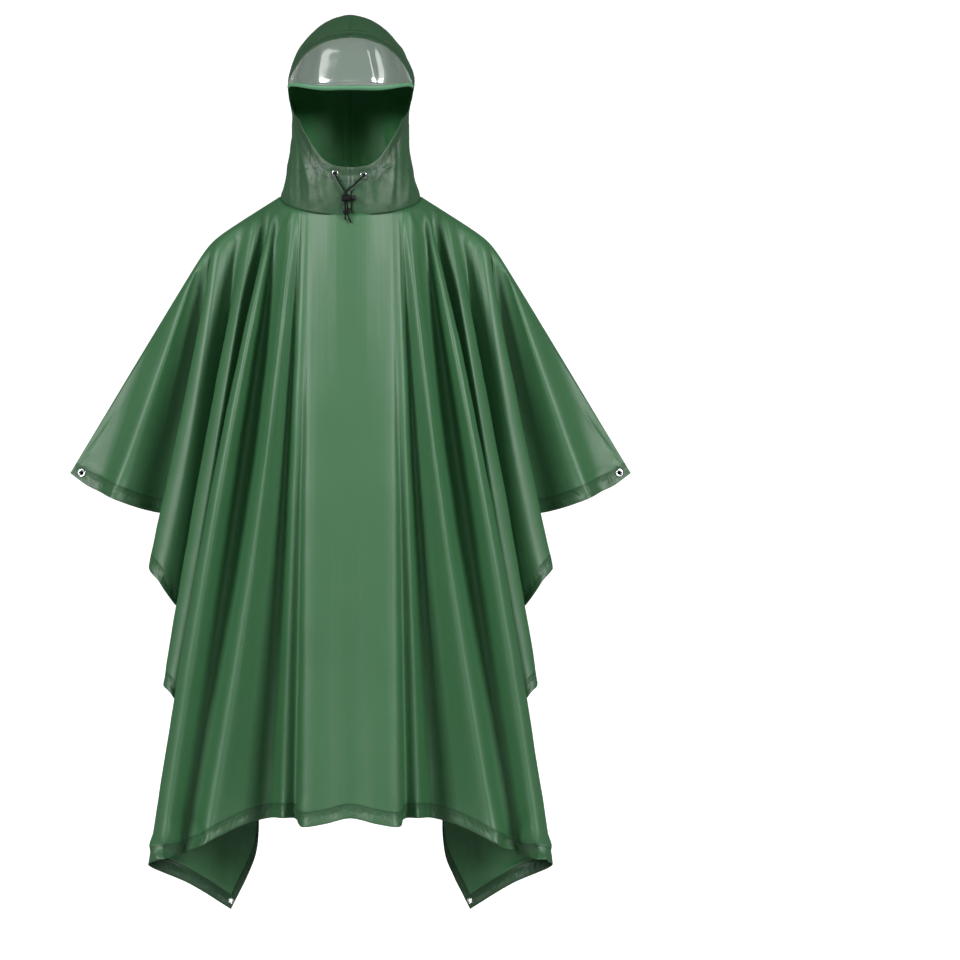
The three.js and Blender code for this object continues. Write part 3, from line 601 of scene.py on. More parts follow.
def eyeletPiece(node):
    sizes = eyeletSizes["hood" if "hood" in node else "body"]
    centre, axis = eyeletPlace(node)
    hole, outer, roll = sizes["hole"], sizes["outer"], sizes["roll"]
    middle, half = (hole + outer) / 2, (outer - hole) / 2
    bm = bmesh.new()
    # Rolled ring: an oval section turned round the axis
    section = []
    for k in range(eyeletSizes["rollSteps"]):
        angle = 2 * math.pi * k / eyeletSizes["rollSteps"]
        height = roll / 2 * math.sin(angle) + roll / 2 + sizes["play"] - 0.2
        section.append(bm.verts.new(Vector((middle + half * math.cos(angle), 0, height)) * mm))
    loop = [bm.edges.new(pair) for pair in zip(section, section[1:] + section[:1])]
    bmesh.ops.spin(
        bm, geom=section + loop, cent=(0, 0, 0), axis=(0, 0, 1), angle=2 * math.pi,
        steps=eyeletSizes["ringSteps"], use_merge=True,
    )
    # Barrel through the cloth, flared into petals at the back
    profile = [
        (hole + 0.1, sizes["play"]), (hole + 0.1, -sizes["play"]), (hole + 0.7, -1.1),
        (middle, -eyeletSizes["petalHeight"]), (sizes["star"], -sizes["play"] - 0.1),
        (middle, -eyeletSizes["petalHeight"] + 0.5), (hole + 0.8, -0.3), (hole + 0.6, sizes["play"]),
    ]
    barrel = [bm.verts.new(Vector((r, 0, z)) * mm) for r, z in profile]
    loop = [bm.edges.new(pair) for pair in zip(barrel, barrel[1:] + barrel[:1])]
    made = bmesh.ops.spin(
        bm, geom=barrel + loop, cent=(0, 0, 0), axis=(0, 0, 1), angle=2 * math.pi,
        steps=eyeletSizes["ringSteps"], use_merge=True,
    )
    for vert in bm.verts:
        radius = math.hypot(vert.co.x, vert.co.y) / mm
        if vert.co.z > -sizes["play"] * 0.9 * mm or radius < hole + 0.4:
            continue
        lobe = math.cos(sizes["petals"] * math.atan2(vert.co.y, vert.co.x))
        notch = 1 - 0.32 * (0.5 - 0.5 * lobe) * min(1, (radius - hole) / half / 1.6)
        vert.co.x *= notch
        vert.co.y *= notch
    bmesh.ops.remove_doubles(bm, verts=bm.verts, dist=0.005 * mm)
    bmesh.ops.recalc_face_normals(bm, faces=bm.faces)
    turn = Vector((0, 0, 1)).rotation_difference(axis).to_matrix().to_4x4()
    bm.transform(Matrix.Translation(centre) @ turn)
    for face in bm.faces:
        face.smooth = True
    return meshPiece(node.replace("eyelet_", "") + "_ring", bm, [platedMetal])


for node in eyeletOutwards:
    ring = eyeletPiece(node)
    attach(ring, "garment")
    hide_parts(node)
print("eyelets ready")

# Front and back of the body sheet, in millimetres. Each row is one line of the fall, from the
# sleeve corner to the centre: its sideways place at the top, its lower end, how far it bows
# outwards and swells forward on its way, and whether the lower edge has a corner there.
frontFall = [
    (476, 476, 0, -456, 0, 0, 0),
    (430, 448, -9, -476, 0, 0, 0),
    (345, 425, -20, -487, 0, -2, 0),
    (262, 399, -76, -498, -7, -24, 0),
    (250, 364, -50, -512, 2, -6, 0),
    (243, 330, -20, -522, 0, 0, 0),
    (238, 262, -28, -533, 0, 0, 0),
    (233, 298, -34, -580, 2, 6, 0),
    (228, 339, -62, -611, -3, -4, 0),
    (222, 320, -94, -636, -9, -18, 0),
    (208, 294, -82, -674, -4, -12, 0),
    (190, 254, -38, -716, 0, 2, 0),
    (178, 278, -68, -772, 4, -4, 0),
    (168, 312, -100, -804, 4, -24, 0),
    (160, 299, -128, -819, -2, -46, 0),
    (151, 270, -112, -858, 4, -40, 0),
    (144, 222, -76, -925, 2, -22, 0),
    (138, 160, -50, -1012, 0, -30, 0),
    (134, 159, -43, -1094, 8, -50, 0),
    (131, 201, -64, -1187, 14, -64, 1),
    (129, 268, -98, -1140, 16, -64, 0),
    (126, 333, -148, -1102, 12, -66, 0),
    (121, 309, -196, -1086, 7, -88, 0),
    (115, 284, -148, -1087, -2, -22, 0),
    (107, 264, -156, -1077, -8, -22, 0),
    (98, 238, -198, -1060, -14, -50, 0),
    (90, 180, -146, -1037, 0, -52, 0),
    (84, 138, -118, -1028, 0, -32, 0),
    (79, 110, -178, -1021, 0, -34, 0),
    (74, 92, -158, -1023, 0, -38, 0),
    (68, 78, -216, -1031, 0, -24, 0),
    (34, 42, -216, -1026, 0, -20, 0),
    (0, 0, -204, -1018, 0, -20, 0),
]
backFall = [
    (476, 476, 0, -456, 0, 0, 0),
    (430, 446, 14, -474, 0, 2, 0),
    (270, 392, 46, -497, 0, 12, 0),
    (256, 338, 40, -513, 0, 8, 0),
    (246, 290, 24, -522, 0, 0, 0),
    (236, 250, 34, -530, 0, 0, 0),
    (232, 294, 50, -574, 0, 2, 0),
    (228, 322, 68, -602, 0, 6, 0),
    (220, 306, 94, -628, -4, 14, 0),
    (206, 270, 84, -670, -4, 18, 0),
    (190, 226, 68, -708, 0, 28, 0),
    (176, 270, 86, -760, 2, 30, 0),
    (166, 297, 104, -788, 2, 32, 0),
    (158, 284, 126, -806, 2, 44, 0),
    (150, 248, 116, -848, 2, 46, 0),
    (143, 200, 96, -912, 2, 50, 0),
    (136, 158, 62, -984, 0, 54, 0),
    (133, 166, 50, -1066, 8, 62, 0),
    (131, 206, 70, -1164, 14, 70, 1),
    (129, 262, 102, -1112, 14, 70, 0),
    (126, 310, 150, -1070, 12, 64, 0),
    (121, 288, 186, -1054, 11, 68, 0),
    (108, 256, 174, -1046, 3, 36, 0),
    (86, 208, 204, -1024, -2, 36, 0),
    (74, 150, 168, -1004, 2, 32, 0),
    (52, 104, 198, -1000, 2, 34, 0),
    (36, 62, 176, -996, 0, 32, 0),
    (0, 0, 200, -1002, 0, 34, 0),
]
bodySizes = {
    "neckHalfWidth": 119,
    "neckReach": {-1: 125, 1: 115},
    "neckEndZ": {-1: -25, 1: 24},
    "neckSideZ": 14,
    "shoulderX": 238,
    "shoulderZ": -59.5,
    "neckSlope": 0.626,
    "sleeveSlope": 1.663,
    "shoulderRounding": 15,
    "sleeveEndX": 476,
    "reachOver": 36,
    "reachSleeve": 1,
    "reachFrom": 60,
    "reachFull": 140,
    "mostOfDrop": 0.2,
    "cell": 9.0,
    "fewestCells": 4,
    "rowsAboveHem": 92,
    "hemRows": [36, 30, 27, 25.2, 24.4, 23, 19, 13, 7, 3, 1, 0],
    "thickness": 0.7,
    "crestRounds": 5,
    "hemOff": 0.9,
    "hemThickness": 0.5,
    "eyelets": {
        -1: (
            "eyelet_front_left", "eyelet_front_right",
            "eyelet_front_sleeve_left", "eyelet_front_sleeve_right",
        ),
        1: ("eyelet_back_left", "eyelet_back_right"),
    },
}
stitchSizes = {"pitch": 3.4, "length": 2.5, "radius": 0.34, "lift": 0.3}
# Creases of the front: half (0 for both), first and last line of the fall, sideways place and
# height of both ends, width, how far it stands out, sideways bend
frontCreases = [
    (0, 10, 33, 108, -4, 140, -52, 5, 2.4, 3),
    (0, 10, 33, 101, -14, 136, -66, 4, -2.0, -3),
    (-1, 20, 33, 96, -22, 124, -90, 5, 1.6, 4),
    (1, 20, 33, 94, -18, 120, -104, 6, 1.8, 5),
    (0, 8, 14, 132, -34, 166, -52, 4, -2.6, 0),
    (0, 8, 14, 128, -42, 158, -70, 4, 2.2, 2),
    (-1, 0, 5, 398, -352, 452, -437, 3, -1.6, 0),
    (1, 0, 5, 392, -346, 455, -440, 3, -1.8, 0),
    (0, 0, 5, 440, -440, 470, -452, 3, 1.4, 1),
    (-1, 0, 4, 408, -470, 430, -452, 5, 1.2, 2),
    (1, 0, 4, 398, -476, 428, -446, 5, -1.4, 2),
    (0, 19, 24, 330, -1060, 290, -1108, 6, 8.0, 3),
    (0, 19, 24, 320, -1056, 278, -1098, 6, -7.0, -2),
    (-1, 19, 24, 326, -1080, 270, -1120, 5, -5.0, 3),
    (1, 19, 24, 330, -1082, 266, -1114, 5, 5.5, -3),
    (0, 20, 27, 306, -1030, 244, -1092, 7, 5.0, 4),
    (-1, 21, 28, 284, -1010, 228, -1072, 8, -4.0, -4),
    (1, 21, 28, 290, -1018, 236, -1076, 8, -4.2, 5),
    (-1, 16, 20, 204, -1150, 246, -1120, 6, 2.2, 2),
    (1, 16, 20, 198, -1140, 250, -1126, 6, -2.2, -3),
    (0, 16, 20, 196, -1080, 236, -1130, 6, 1.8, 4),
    (-1, 26, 32, 64, -980, 100, -1030, 6, 2.0, 2),
    (1, 26, 32, 58, -990, 92, -1034, 6, -2.0, 3),
    (-1, 28, 33, 30, -870, 26, -1010, 9, 1.4, 4),
    (1, 28, 33, 44, -840, 38, -1000, 9, 1.6, -4),
    (-1, 30, 33, 22, -560, 18, -900, 10, -1.2, 3),
    (1, 30, 33, 16, -600, 24, -860, 10, 1.2, -3),
    (-1, 29, 33, 62, -260, 50, -560, 9, 1.5, 3),
    (1, 29, 33, 58, -220, 54, -600, 9, 1.4, -3),
]
# The same for the back
backCreases = [
    (0, 8, 28, 106, 6, 138, -50, 5, 2.2, 3),
    (-1, 8, 28, 98, 4, 130, -70, 5, -2.0, -3),
    (1, 8, 28, 92, 8, 126, -86, 5, 1.8, 4),
    (0, 7, 12, 130, -36, 162, -60, 4, -2.2, 0),
    (-1, 0, 4, 396, -350, 450, -436, 3, -1.6, 0),
    (1, 0, 4, 402, -356, 454, -440, 3, -1.4, 0),
    (0, 18, 22, 306, -1030, 268, -1076, 5, 3.4, 3),
    (-1, 18, 22, 300, -1048, 258, -1084, 4, -2.8, -2),
    (1, 18, 22, 296, -1040, 262, -1090, 4, 2.6, 3),
    (-1, 20, 24, 260, -980, 206, -1030, 8, -2.0, 4),
    (1, 20, 24, 252, -990, 214, -1026, 8, 2.0, -4),
    (-1, 23, 27, 40, -820, 34, -980, 9, 1.6, 3),
    (1, 23, 27, 30, -860, 42, -990, 9, -1.6, -3),
    (0, 22, 27, 70, -160, 52, -480, 10, 1.6, 3),
    (-1, 24, 27, 20, -420, 26, -760, 10, -1.4, 3),
    (1, 24, 27, 24, -380, 18, -700, 10, 1.4, 3),
]


def shoulderHeight(x):
    s = bodySizes
    along = x - s["shoulderX"]
    middle = (s["neckSlope"] + s["sleeveSlope"]) / 2
    bend = (s["sleeveSlope"] - s["neckSlope"]) / 2
    return s["shoulderZ"] - middle * along - bend * np.hypot(along, s["shoulderRounding"])


def neckPoint(angle, side):
    s = bodySizes
    return np.stack(
        [
            s["neckHalfWidth"] * np.sin(angle),
            side * s["neckReach"][side] * np.cos(angle),
            mix(s["neckEndZ"][side], s["neckSideZ"], 1 - np.cos(angle)),
        ],
        axis=-1,
    )


def fallTable(rows, side):
    # The lines' tops and lower ends as arrays, one row for each line
    s = bodySizes
    table = np.array(rows, float)
    top = table[:, 0]
    onNeck = top < s["neckHalfWidth"]
    angle = np.arcsin(np.clip(top / s["neckHalfWidth"], 0, 1))
    start = neckPoint(angle, side)
    ridge = np.stack([top, 0 * top, shoulderHeight(top)], axis=-1)
    start[~onNeck] = ridge[~onNeck]
    reach = smoothStep((top - s["reachFrom"]) / (s["reachFull"] - s["reachFrom"]))
    toSleeve = smoothStep((top - s["shoulderX"]) / (s["sleeveEndX"] - s["shoulderX"]))
    reach = reach * mix(s["reachOver"], s["reachSleeve"], toSleeve)
    drop = np.abs(table[:, 3] - start[:, 2]) + 1
    return {
        "start": start,
        "end": table[:, 1:4],
        "bow": table[:, 4],
        "swell": table[:, 5],
        "sharp": table[:, 6],
        "reach": np.minimum(reach, drop * s["mostOfDrop"]),
        "drop": drop,
        "side": side,
        "middle": len(rows) - 1,
    }


def linePoint(fall, index, t):
    start, end = fall["start"][index], fall["end"][index]
    reach, side = fall["reach"][index], fall["side"]
    turn = np.clip(t * fall["drop"][index] / (reach + 1e-6), 0, 1)
    over = reach * np.sqrt(1 - (1 - turn) ** 2) * side
    x = mix(start[..., 0], end[..., 0], t) + fall["bow"][index] * 4 * t * (1 - t)
    y = start[..., 1] + over + (end[..., 1] - start[..., 1] - reach * side) * t
    y = y + fall["swell"][index] * 6.75 * t * (1 - t) ** 2
    z = mix(start[..., 2], end[..., 2], t)
    return np.stack([x, y, z], axis=-1)


def fallPoint(fall, place, t):
    # place counts the lines from the sleeve corner to the centre; the points are on the left
    middle = fall["middle"]
    index = np.minimum(middle - 1, np.floor(place).astype(int))
    u = (place - index)[..., None]

    def mirrored(i):
        folded = np.where(i > middle, 2 * middle - i, np.maximum(0, i))
        point = linePoint(fall, folded, t)
        point[..., 0] *= np.where(i > middle, 1, -1)
        return point

    p0, p1, p2, p3 = (mirrored(index + k) for k in (-1, 0, 1, 2))

    def gap(a, b):
        return np.sqrt(np.linalg.norm(a - b, axis=-1))[..., None] + 1e-4

    def slope(a, b, c, da, db):
        first = a * (1 / (da + db) - 1 / da) + b * (1 / da - 1 / db)
        return first + c * (1 / db - 1 / (da + db))

    d0, d1, d2 = gap(p0, p1), gap(p1, p2), gap(p2, p3)
    sharpness = t[..., None] ** 6
    m1 = slope(p0, p1, p2, d0, d1) * d1
    m2 = slope(p1, p2, p3, d1, d2) * d1
    m1 = mix(m1, p2 - p1, fall["sharp"][index][..., None] * sharpness)
    m2 = mix(m2, p2 - p1, fall["sharp"][index + 1][..., None] * sharpness)
    u2, u3 = u * u, u * u * u
    return (
        p1 * (2 * u3 - 3 * u2 + 1)
        + m1 * (u3 - 2 * u2 + u)
        + p2 * (3 * u2 - 2 * u3)
        + m2 * (u3 - u2)
    )


def clothColumns(fall):
    # More columns where two lines are far apart at the lower edge
    ends = fall["end"]
    places = []
    for i in range(fall["middle"]):
        wide = np.linalg.norm(ends[i + 1] - ends[i])
        cells = max(bodySizes["fewestCells"], round(wide / bodySizes["cell"]))
        places += [i + k / cells for k in range(cells)]
    return np.array(places + [fall["middle"]])


def clothRows(fall, places):
    # Rows run evenly down to the hem and then at set distances from the lower edge. Gives t and
    # the distance from the lower edge for each row and column.
    samples = np.linspace(0, 1, 41)
    place, t = np.meshgrid(places, samples)
    points = fallPoint(fall, place, t)
    steps = np.linalg.norm(np.diff(points, axis=0), axis=-1)
    down = np.vstack([np.zeros(len(places)), np.cumsum(steps, axis=0)])
    length = down[-1]
    hem = np.array(bodySizes["hemRows"], float)
    count = bodySizes["rowsAboveHem"]
    rowsT, rowsEdge = [], []
    for c in range(len(places)):
        squeeze = min(1.0, length[c] / (2 * hem[0]) + 1e-6)
        edge = hem * squeeze
        above = length[c] - edge[0]
        share = np.linspace(0, 1, count + 1)[:-1]
        wanted = np.concatenate([above * share**1.15, length[c] - edge])
        rowsT.append(np.interp(wanted, down[:, c], samples))
        rowsEdge.append(length[c] - wanted)
    return np.array(rowsT).T, np.array(rowsEdge).T, length


def gridNormals(points):
    across = np.gradient(points, axis=1)
    downwards = np.gradient(points, axis=0)
    normals = np.cross(downwards, across)
    size = np.linalg.norm(normals, axis=-1, keepdims=True)
    return normals / np.maximum(size, 1e-12)


def noiseOn(points, seed):
    flat = points.reshape(-1, 3)
    values = [noise.noise(Vector((p[0] + seed, p[1], p[2]))) for p in flat]
    return np.array(values).reshape(points.shape[:-1])


def sheetMesh(name, points, across, edgeDistance, outwards, materials, thickness, eyelets=()):
    # A grid of cloth points (rows, columns) in millimetres as a thin shell
    rows, columns = points.shape[:2]
    bm = bmesh.new()
    bmesh.ops.create_grid(bm, x_segments=columns - 1, y_segments=rows - 1, size=1)
    bm.verts.ensure_lookup_table()
    for vert, point in zip(bm.verts, points.reshape(-1, 3)):
        vert.co = point * mm
    maps = bm.loops.layers.uv.new("cut")
    u, v = (across * mm).ravel(), (edgeDistance * mm).ravel()
    for face in bm.faces:
        face.smooth = True
        for loop in face.loops:
            loop[maps].uv = (u[loop.vert.index], v[loop.vert.index])
    bm.normal_update()
    facing = sum((f.normal * f.calc_area() for f in bm.faces), Vector())
    if facing.dot(Vector(outwards)) < 0:
        bmesh.ops.reverse_faces(bm, faces=bm.faces)
    bmesh.ops.remove_doubles(bm, verts=bm.verts, dist=0.02 * mm)
    for place, barrel, reach, cuts in eyelets:
        openEyelet(bm, place, barrel, reach, cuts)
    for face in bm.faces:
        face.smooth = True
    piece = meshPiece(name, bm, materials)
    shell = piece.modifiers.new("shell", "SOLIDIFY")
    shell.thickness = thickness * mm
    shell.offset = 0
    shell.material_offset = 1
    shell.material_offset_rim = 0
    return piece


def softRidge(u, v, u0, v0, u1, v1, width, height, bend=0):
    # Height of a soft ridge or trough that fades at both ends, all in millimetres
    span = math.hypot(u1 - u0, v1 - v0)
    along = ((u - u0) * (u1 - u0) + (v - v0) * (v1 - v0)) / span**2
    s = np.clip(along, 0, 1)
    arch = bend * 4 * s * (1 - s) / span
    centreU = u0 + (u1 - u0) * s - (v1 - v0) * arch
    centreV = v0 + (v1 - v0) * s + (u1 - u0) * arch
    away = np.hypot(u - centreU, v - centreV)
    fade = np.clip(4 * s * (1 - s), 0, 1) ** 0.7
    return height * np.exp(-((away / width) ** 2)) * fade


def bodyCreases(points, place, half, edge, down, side):
    # How far each point moves out of the sheet
    height = 1.1 * noiseOn(points / 90, 5 * side) + 0.4 * noiseOn(points / 28, 9 * side)
    x, z = points[..., 0], points[..., 2]
    for row in frontCreases if side < 0 else backCreases:
        which, first, last, x0, z0, x1, z1, width, depth, bend = row
        here = (place >= first) & (place <= last)
        if which:
            here = here & (half == which)
        height += here * softRidge(np.abs(x), z, x0, z0, x1, z1, width, depth, bend)
    # Short gathers across the hem, strongest on its stitch line
    along = np.stack([points[..., 0], points[..., 1], 0 * z], axis=-1)
    gathers = 2.6 * noiseOn(along / 15, 21 * side) + 1.3 * noiseOn(along / 7, 31 * side)
    height += gathers * np.exp(-(((edge - 14) / 15) ** 2))
    height -= 0.35 * np.exp(-(((edge - 23) / 1.6) ** 2))
    return height * smoothStep(down / 25)


def stitchPiece(name, rows):
    # A row of small rounded stitches along each path of points and outward directions
    base = bmesh.new()
    bmesh.ops.create_uvsphere(base, u_segments=7, v_segments=5, radius=1)
    shape = np.array([vert.co[:] for vert in base.verts])
    faces = [[vert.index for vert in face.verts] for face in base.faces]
    base.free()
    places, frames = [], []
    for path, outwards in rows:
        steps = np.linalg.norm(np.diff(path, axis=0), axis=1)
        run = np.concatenate([[0], np.cumsum(steps)])
        for start in np.arange(0.5, run[-1] - stitchSizes["length"], stitchSizes["pitch"]):
            ends = [start, start + stitchSizes["length"]]
            a, b = (np.array([np.interp(e, run, path[:, k]) for k in range(3)]) for e in ends)
            up = np.array([np.interp(start, run, outwards[:, k]) for k in range(3)])
            ahead = (b - a) / 2
            across = np.cross(ahead, up)
            across *= stitchSizes["radius"] / max(np.linalg.norm(across), 1e-6)
            up = np.cross(across, ahead)
            up *= stitchSizes["radius"] / max(np.linalg.norm(up), 1e-6)
            places.append((a + b) / 2 + up * stitchSizes["lift"])
            frames.append([across, up, ahead])
    verts = np.einsum("vk,skj->svj", shape, np.array(frames)) + np.array(places)[:, None]
    count = len(shape)
    many = [[i + count * k for i in face] for k in range(len(places)) for face in faces]
    mesh = bpy.data.meshes.new(name)
    mesh.from_pydata((verts.reshape(-1, 3) * mm).tolist(), [], many)
    bm = bmesh.new()
    bm.from_mesh(mesh)
    bmesh.ops.recalc_face_normals(bm, faces=bm.faces)
    for face in bm.faces:
        face.smooth = True
    return meshPiece(name, bm, [sewingThread])


def bodyPanel(name, rows, side):
    fall = fallTable(rows, side)
    left = clothColumns(fall)
    t, edge, length = clothRows(fall, left)
    place = np.tile(left, (t.shape[0], 1))
    points = fallPoint(fall, place, t)
    points[..., 1] = side * np.maximum(side * points[..., 1], 0)
    mirroredHalf = points[:, -2::-1] * np.array([-1, 1, 1])
    points = np.concatenate([points, mirroredHalf], axis=1)
    edge = np.concatenate([edge, edge[:, -2::-1]], axis=1)
    place = np.concatenate([place, place[:, -2::-1]], axis=1)
    down = np.concatenate([length, length[-2::-1]]) - edge
    half = np.where(np.arange(points.shape[1]) < len(left), -1, 1)[None, :]
    steps = np.linalg.norm(np.diff(points[-1], axis=0), axis=-1)
    across = np.tile(np.concatenate([[0], np.cumsum(steps)]), (t.shape[0], 1))
    normals = gridNormals(points)
    normals *= np.sign(normals[..., 1].mean() * side)
    height = bodyCreases(points, place, half, edge, down, side)
    points = points + normals * height[..., None]
    # Rounder crests: each row's depth is evened out over its neighbouring columns
    soft = points[..., 1].copy()
    for _ in range(bodySizes["crestRounds"]):
        soft[:, 1:-1] = (soft[:, :-2] + 2 * soft[:, 1:-1] + soft[:, 2:]) / 4
    share = smoothStep((down - 20) / 120) * smoothStep((edge + 10) / 60)
    points[..., 1] = mix(points[..., 1], soft, share)
    points[..., 1] = side * np.maximum(side * points[..., 1], 0)
    eyelets = []
    for node in bodySizes["eyelets"][side]:
        points = flattenAround(points, eyeletPlace(node), 9)
        eyelets.append((eyeletPlace(node), 5.2, 16, 2))
    sheet = sheetMesh(
        name + "Sheet", points, across, edge, (0, side, 0), [clothOutside, clothInside],
        bodySizes["thickness"], eyelets,
    )
    # The turned hem lies on the inside, a little off the wall
    normals = gridNormals(points)
    normals *= np.sign(normals[..., 1].mean() * side)
    turned = len(bodySizes["hemRows"]) - bodySizes["hemRows"].index(24.4)
    inside = points[-turned:] - normals[-turned:] * bodySizes["hemOff"]
    hem = sheetMesh(
        name + "Hem", inside, across[-turned:], edge[-turned:], (0, side, 0),
        [hemInsidePaintedShade, hemInsidePaintedShade], bodySizes["hemThickness"], eyelets,
    )
    row = len(bodySizes["hemRows"]) - bodySizes["hemRows"].index(23)
    outer = points[-row] + normals[-row] * (bodySizes["thickness"] / 2)
    stitches = stitchPiece(name + "Stitches", [(outer, normals[-row])])
    for piece in (sheet, hem, stitches):
        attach(piece, "garment")
    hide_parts(name)


bodyPanel("front", frontFall, -1)
bodyPanel("back", backFall, 1)
print("body sheet ready")


# Hood, in millimetres. Each row is a level section: height, half width, reach to the front and
# to the back, and the angle round from the centre back at which the cloth ends.
hoodSections = [
    (0, 119, 125, 115, 180),
    (22, 112.5, 130, 114, 180),
    (36, 109, 133, 114, 180),
    (51, 105.5, 134, 116, 180),
    (54, 105, 134, 116, 169),
    (61, 104, 134, 117, 161),
    (82, 101, 134, 120, 148.5),
    (102, 99.8, 134, 123, 139),
    (137, 99.3, 135, 129, 122),
    (156, 99.2, 137, 132, 102),
    (171, 102, 143, 134, 93),
    (190, 106, 152, 136, 93),
    (202, 106.6, 149, 136, 101),
    (210, 106.2, 146, 136, 108),
    (230, 101.5, 137, 134, 122),
    (245, 96.5, 130, 129, 132),
    (258, 91, 121, 122, 149),
    (266, 86, 114, 116, 164),
    (269, 83.5, 111, 114, 180),
    (284, 71.5, 92, 100, 180),
    (298, 57, 71, 84, 180),
    (311, 38, 46, 62, 180),
    (318, 20, 28, 44, 180),
    (321, 0, 14, 28, 180),
]
hoodSizes = {
    "roundness": 2.3,
    "neckFade": 45,
    "columns": 72,
    "thickness": 0.7,
    "fromSeam": 0.0,
    "neckUnder": 3.5,
    "tapeWidth": 13,
    "tapeOff": 1.1,
    "seamDepth": 1.6,
    "chinShare": 0.1,
    "seamWidth": 3.0,
    "tapeThickness": 0.4,
    "visorStitch": 4,
    "casing": 23,
    "casingDepth": 0.4,
    "casingWidth": 2.6,
    "chinZ": 51,
    "crownZ": 269,
    "topZ": 321,
}
# Rows of creases: side, then angle and height of both ends, width, height and sideways bend
hoodCreases = [
    (-1, 150, 4, 128, 78, 6.5, 4.2, -6),
    (-1, 138, 6, 118, 110, 5, -3.9, 5),
    (-1, 124, 2, 108, 96, 7.2, 4.5, 4),
    (-1, 108, 8, 100, 150, 6.5, -3.1, -3),
    (-1, 165, 2, 152, 40, 4.3, 2.4, 0),
    (-1, 160, 36, 148, 62, 3.6, 2.1, 3),
    (-1, 96, 180, 84, 260, 8.6, -3.1, 5),
    (-1, 92, 14, 84, 118, 8.6, 3.9, -6),
    (-1, 60, 6, 54, 130, 9.4, 4.2, 6),
    (-1, 38, 10, 30, 112, 8.6, -3.9, 4),
    (-1, 18, 4, 16, 92, 7.9, 3.5, -5),
    (-1, 66, 190, 40, 262, 10.1, -3.5, 6),
    (1, 152, 2, 132, 92, 5.8, 4.5, 5),
    (1, 141, 4, 124, 118, 5.8, -4.2, -4),
    (1, 131, 0, 112, 84, 6.5, 3.9, 6),
    (1, 116, 6, 104, 138, 6.5, -3.9, 3),
    (1, 168, 4, 158, 34, 4.3, -2.3, 0),
    (1, 163, 30, 141, 58, 3.6, 2.6, -4),
    (1, 98, 176, 90, 250, 7.2, 3.1, -4),
    (1, 88, 10, 80, 104, 8.6, 4.2, 5),
    (1, 62, 8, 50, 120, 9.4, -3.9, -6),
    (1, 40, 4, 34, 138, 8.6, 3.9, 3),
    (1, 20, 12, 12, 100, 7.9, -3.5, 4),
    (1, 58, 184, 48, 256, 10.1, 3.1, -5),
]
# Fine gathers of the drawstring casing below the chin: side, angle, height, length, lean, depth
chinGathers = [
    (-1, 178, 30, 20, 4, 0.8),
    (-1, 174, 27, 26, -3, -0.9),
    (-1, 169, 33, 22, 5, 0.8),
    (-1, 163, 36, 24, 6, -0.8),
    (-1, 157, 42, 22, 8, 0.7),
    (1, 177, 26, 26, -4, 0.9),
    (1, 173, 24, 24, 6, -1.1),
    (1, 169, 30, 30, -8, 1.2),
    (1, 165, 25, 26, 9, -1.1),
    (1, 160, 29, 30, -6, 1.1),
    (1, 155, 33, 24, 7, -0.9),
    (1, 150, 40, 22, -5, 0.8),
    (1, 171, 14, 22, 12, 1.2),
    (1, 166, 12, 20, -10, -1.1),
    (-1, 172, 12, 20, -9, 0.8),
]


def throughRows(heights, values, z):
    # Smooth curve through one column of a table
    slopes = np.gradient(values, heights)
    i = np.clip(np.searchsorted(heights, z) - 1, 0, len(heights) - 2)
    span = heights[i + 1] - heights[i]
    u = (z - heights[i]) / span
    u2, u3 = u * u, u * u * u
    start = values[i] * (2 * u3 - 3 * u2 + 1) + slopes[i] * span * (u3 - 2 * u2 + u)
    return start + values[i + 1] * (3 * u2 - 2 * u3) + slopes[i + 1] * span * (u3 - u2)


def hoodLevel(z):
    # Half width, reaches and end angle of the hood's section at a height
    table = np.array(hoodSections, float)
    heights = table[:, 0]
    z = np.asarray(z, float)
    wide, front, back = (
        np.sqrt(np.maximum(throughRows(heights, table[:, c] ** 2, z), 0)) for c in (1, 2, 3)
    )
    opened = np.maximum(np.interp(z, heights, (180 - table[:, 4]) ** 2), 0)
    return wide, front, back, 180 - np.sqrt(opened)


def hoodPoint(angle, z, level):
    # Point on the hood's left side at an angle round from the centre back
    wide, front, back, edge = level
    power = 2 / hoodSizes["roundness"]
    sine = np.abs(np.sin(np.radians(angle))) ** power
    cosine = np.abs(np.cos(np.radians(angle))) ** power
    forward = angle > 90
    y = np.where(forward, -front * cosine, back * cosine)
    turned = np.arcsin(np.clip(sine, 0, 1))
    seam = np.where(forward, neckPoint(turned, -1)[..., 2], neckPoint(turned, 1)[..., 2])
    height = z + seam * (1 - smoothStep(z / hoodSizes["neckFade"]))
    x = -np.maximum(wide * sine, hoodSizes["fromSeam"])
    return np.stack([x, y, height], axis=-1)


def hoodHeights():
    chin, crown, top = hoodSizes["chinZ"], hoodSizes["crownZ"], hoodSizes["topZ"]
    spans = [
        np.linspace(0, chin, 24)[:-1],
        chin + (82 - chin) * np.linspace(0, 1, 18)[:-1] ** 2,
        np.linspace(82, 202, 30)[:-1],
        crown - (crown - 202) * (1 - np.linspace(0, 1, 24)[:-1]) ** 2,
        top - (top - crown) * (1 - np.linspace(0, 1, 22)) ** 2,
    ]
    return np.concatenate(spans)


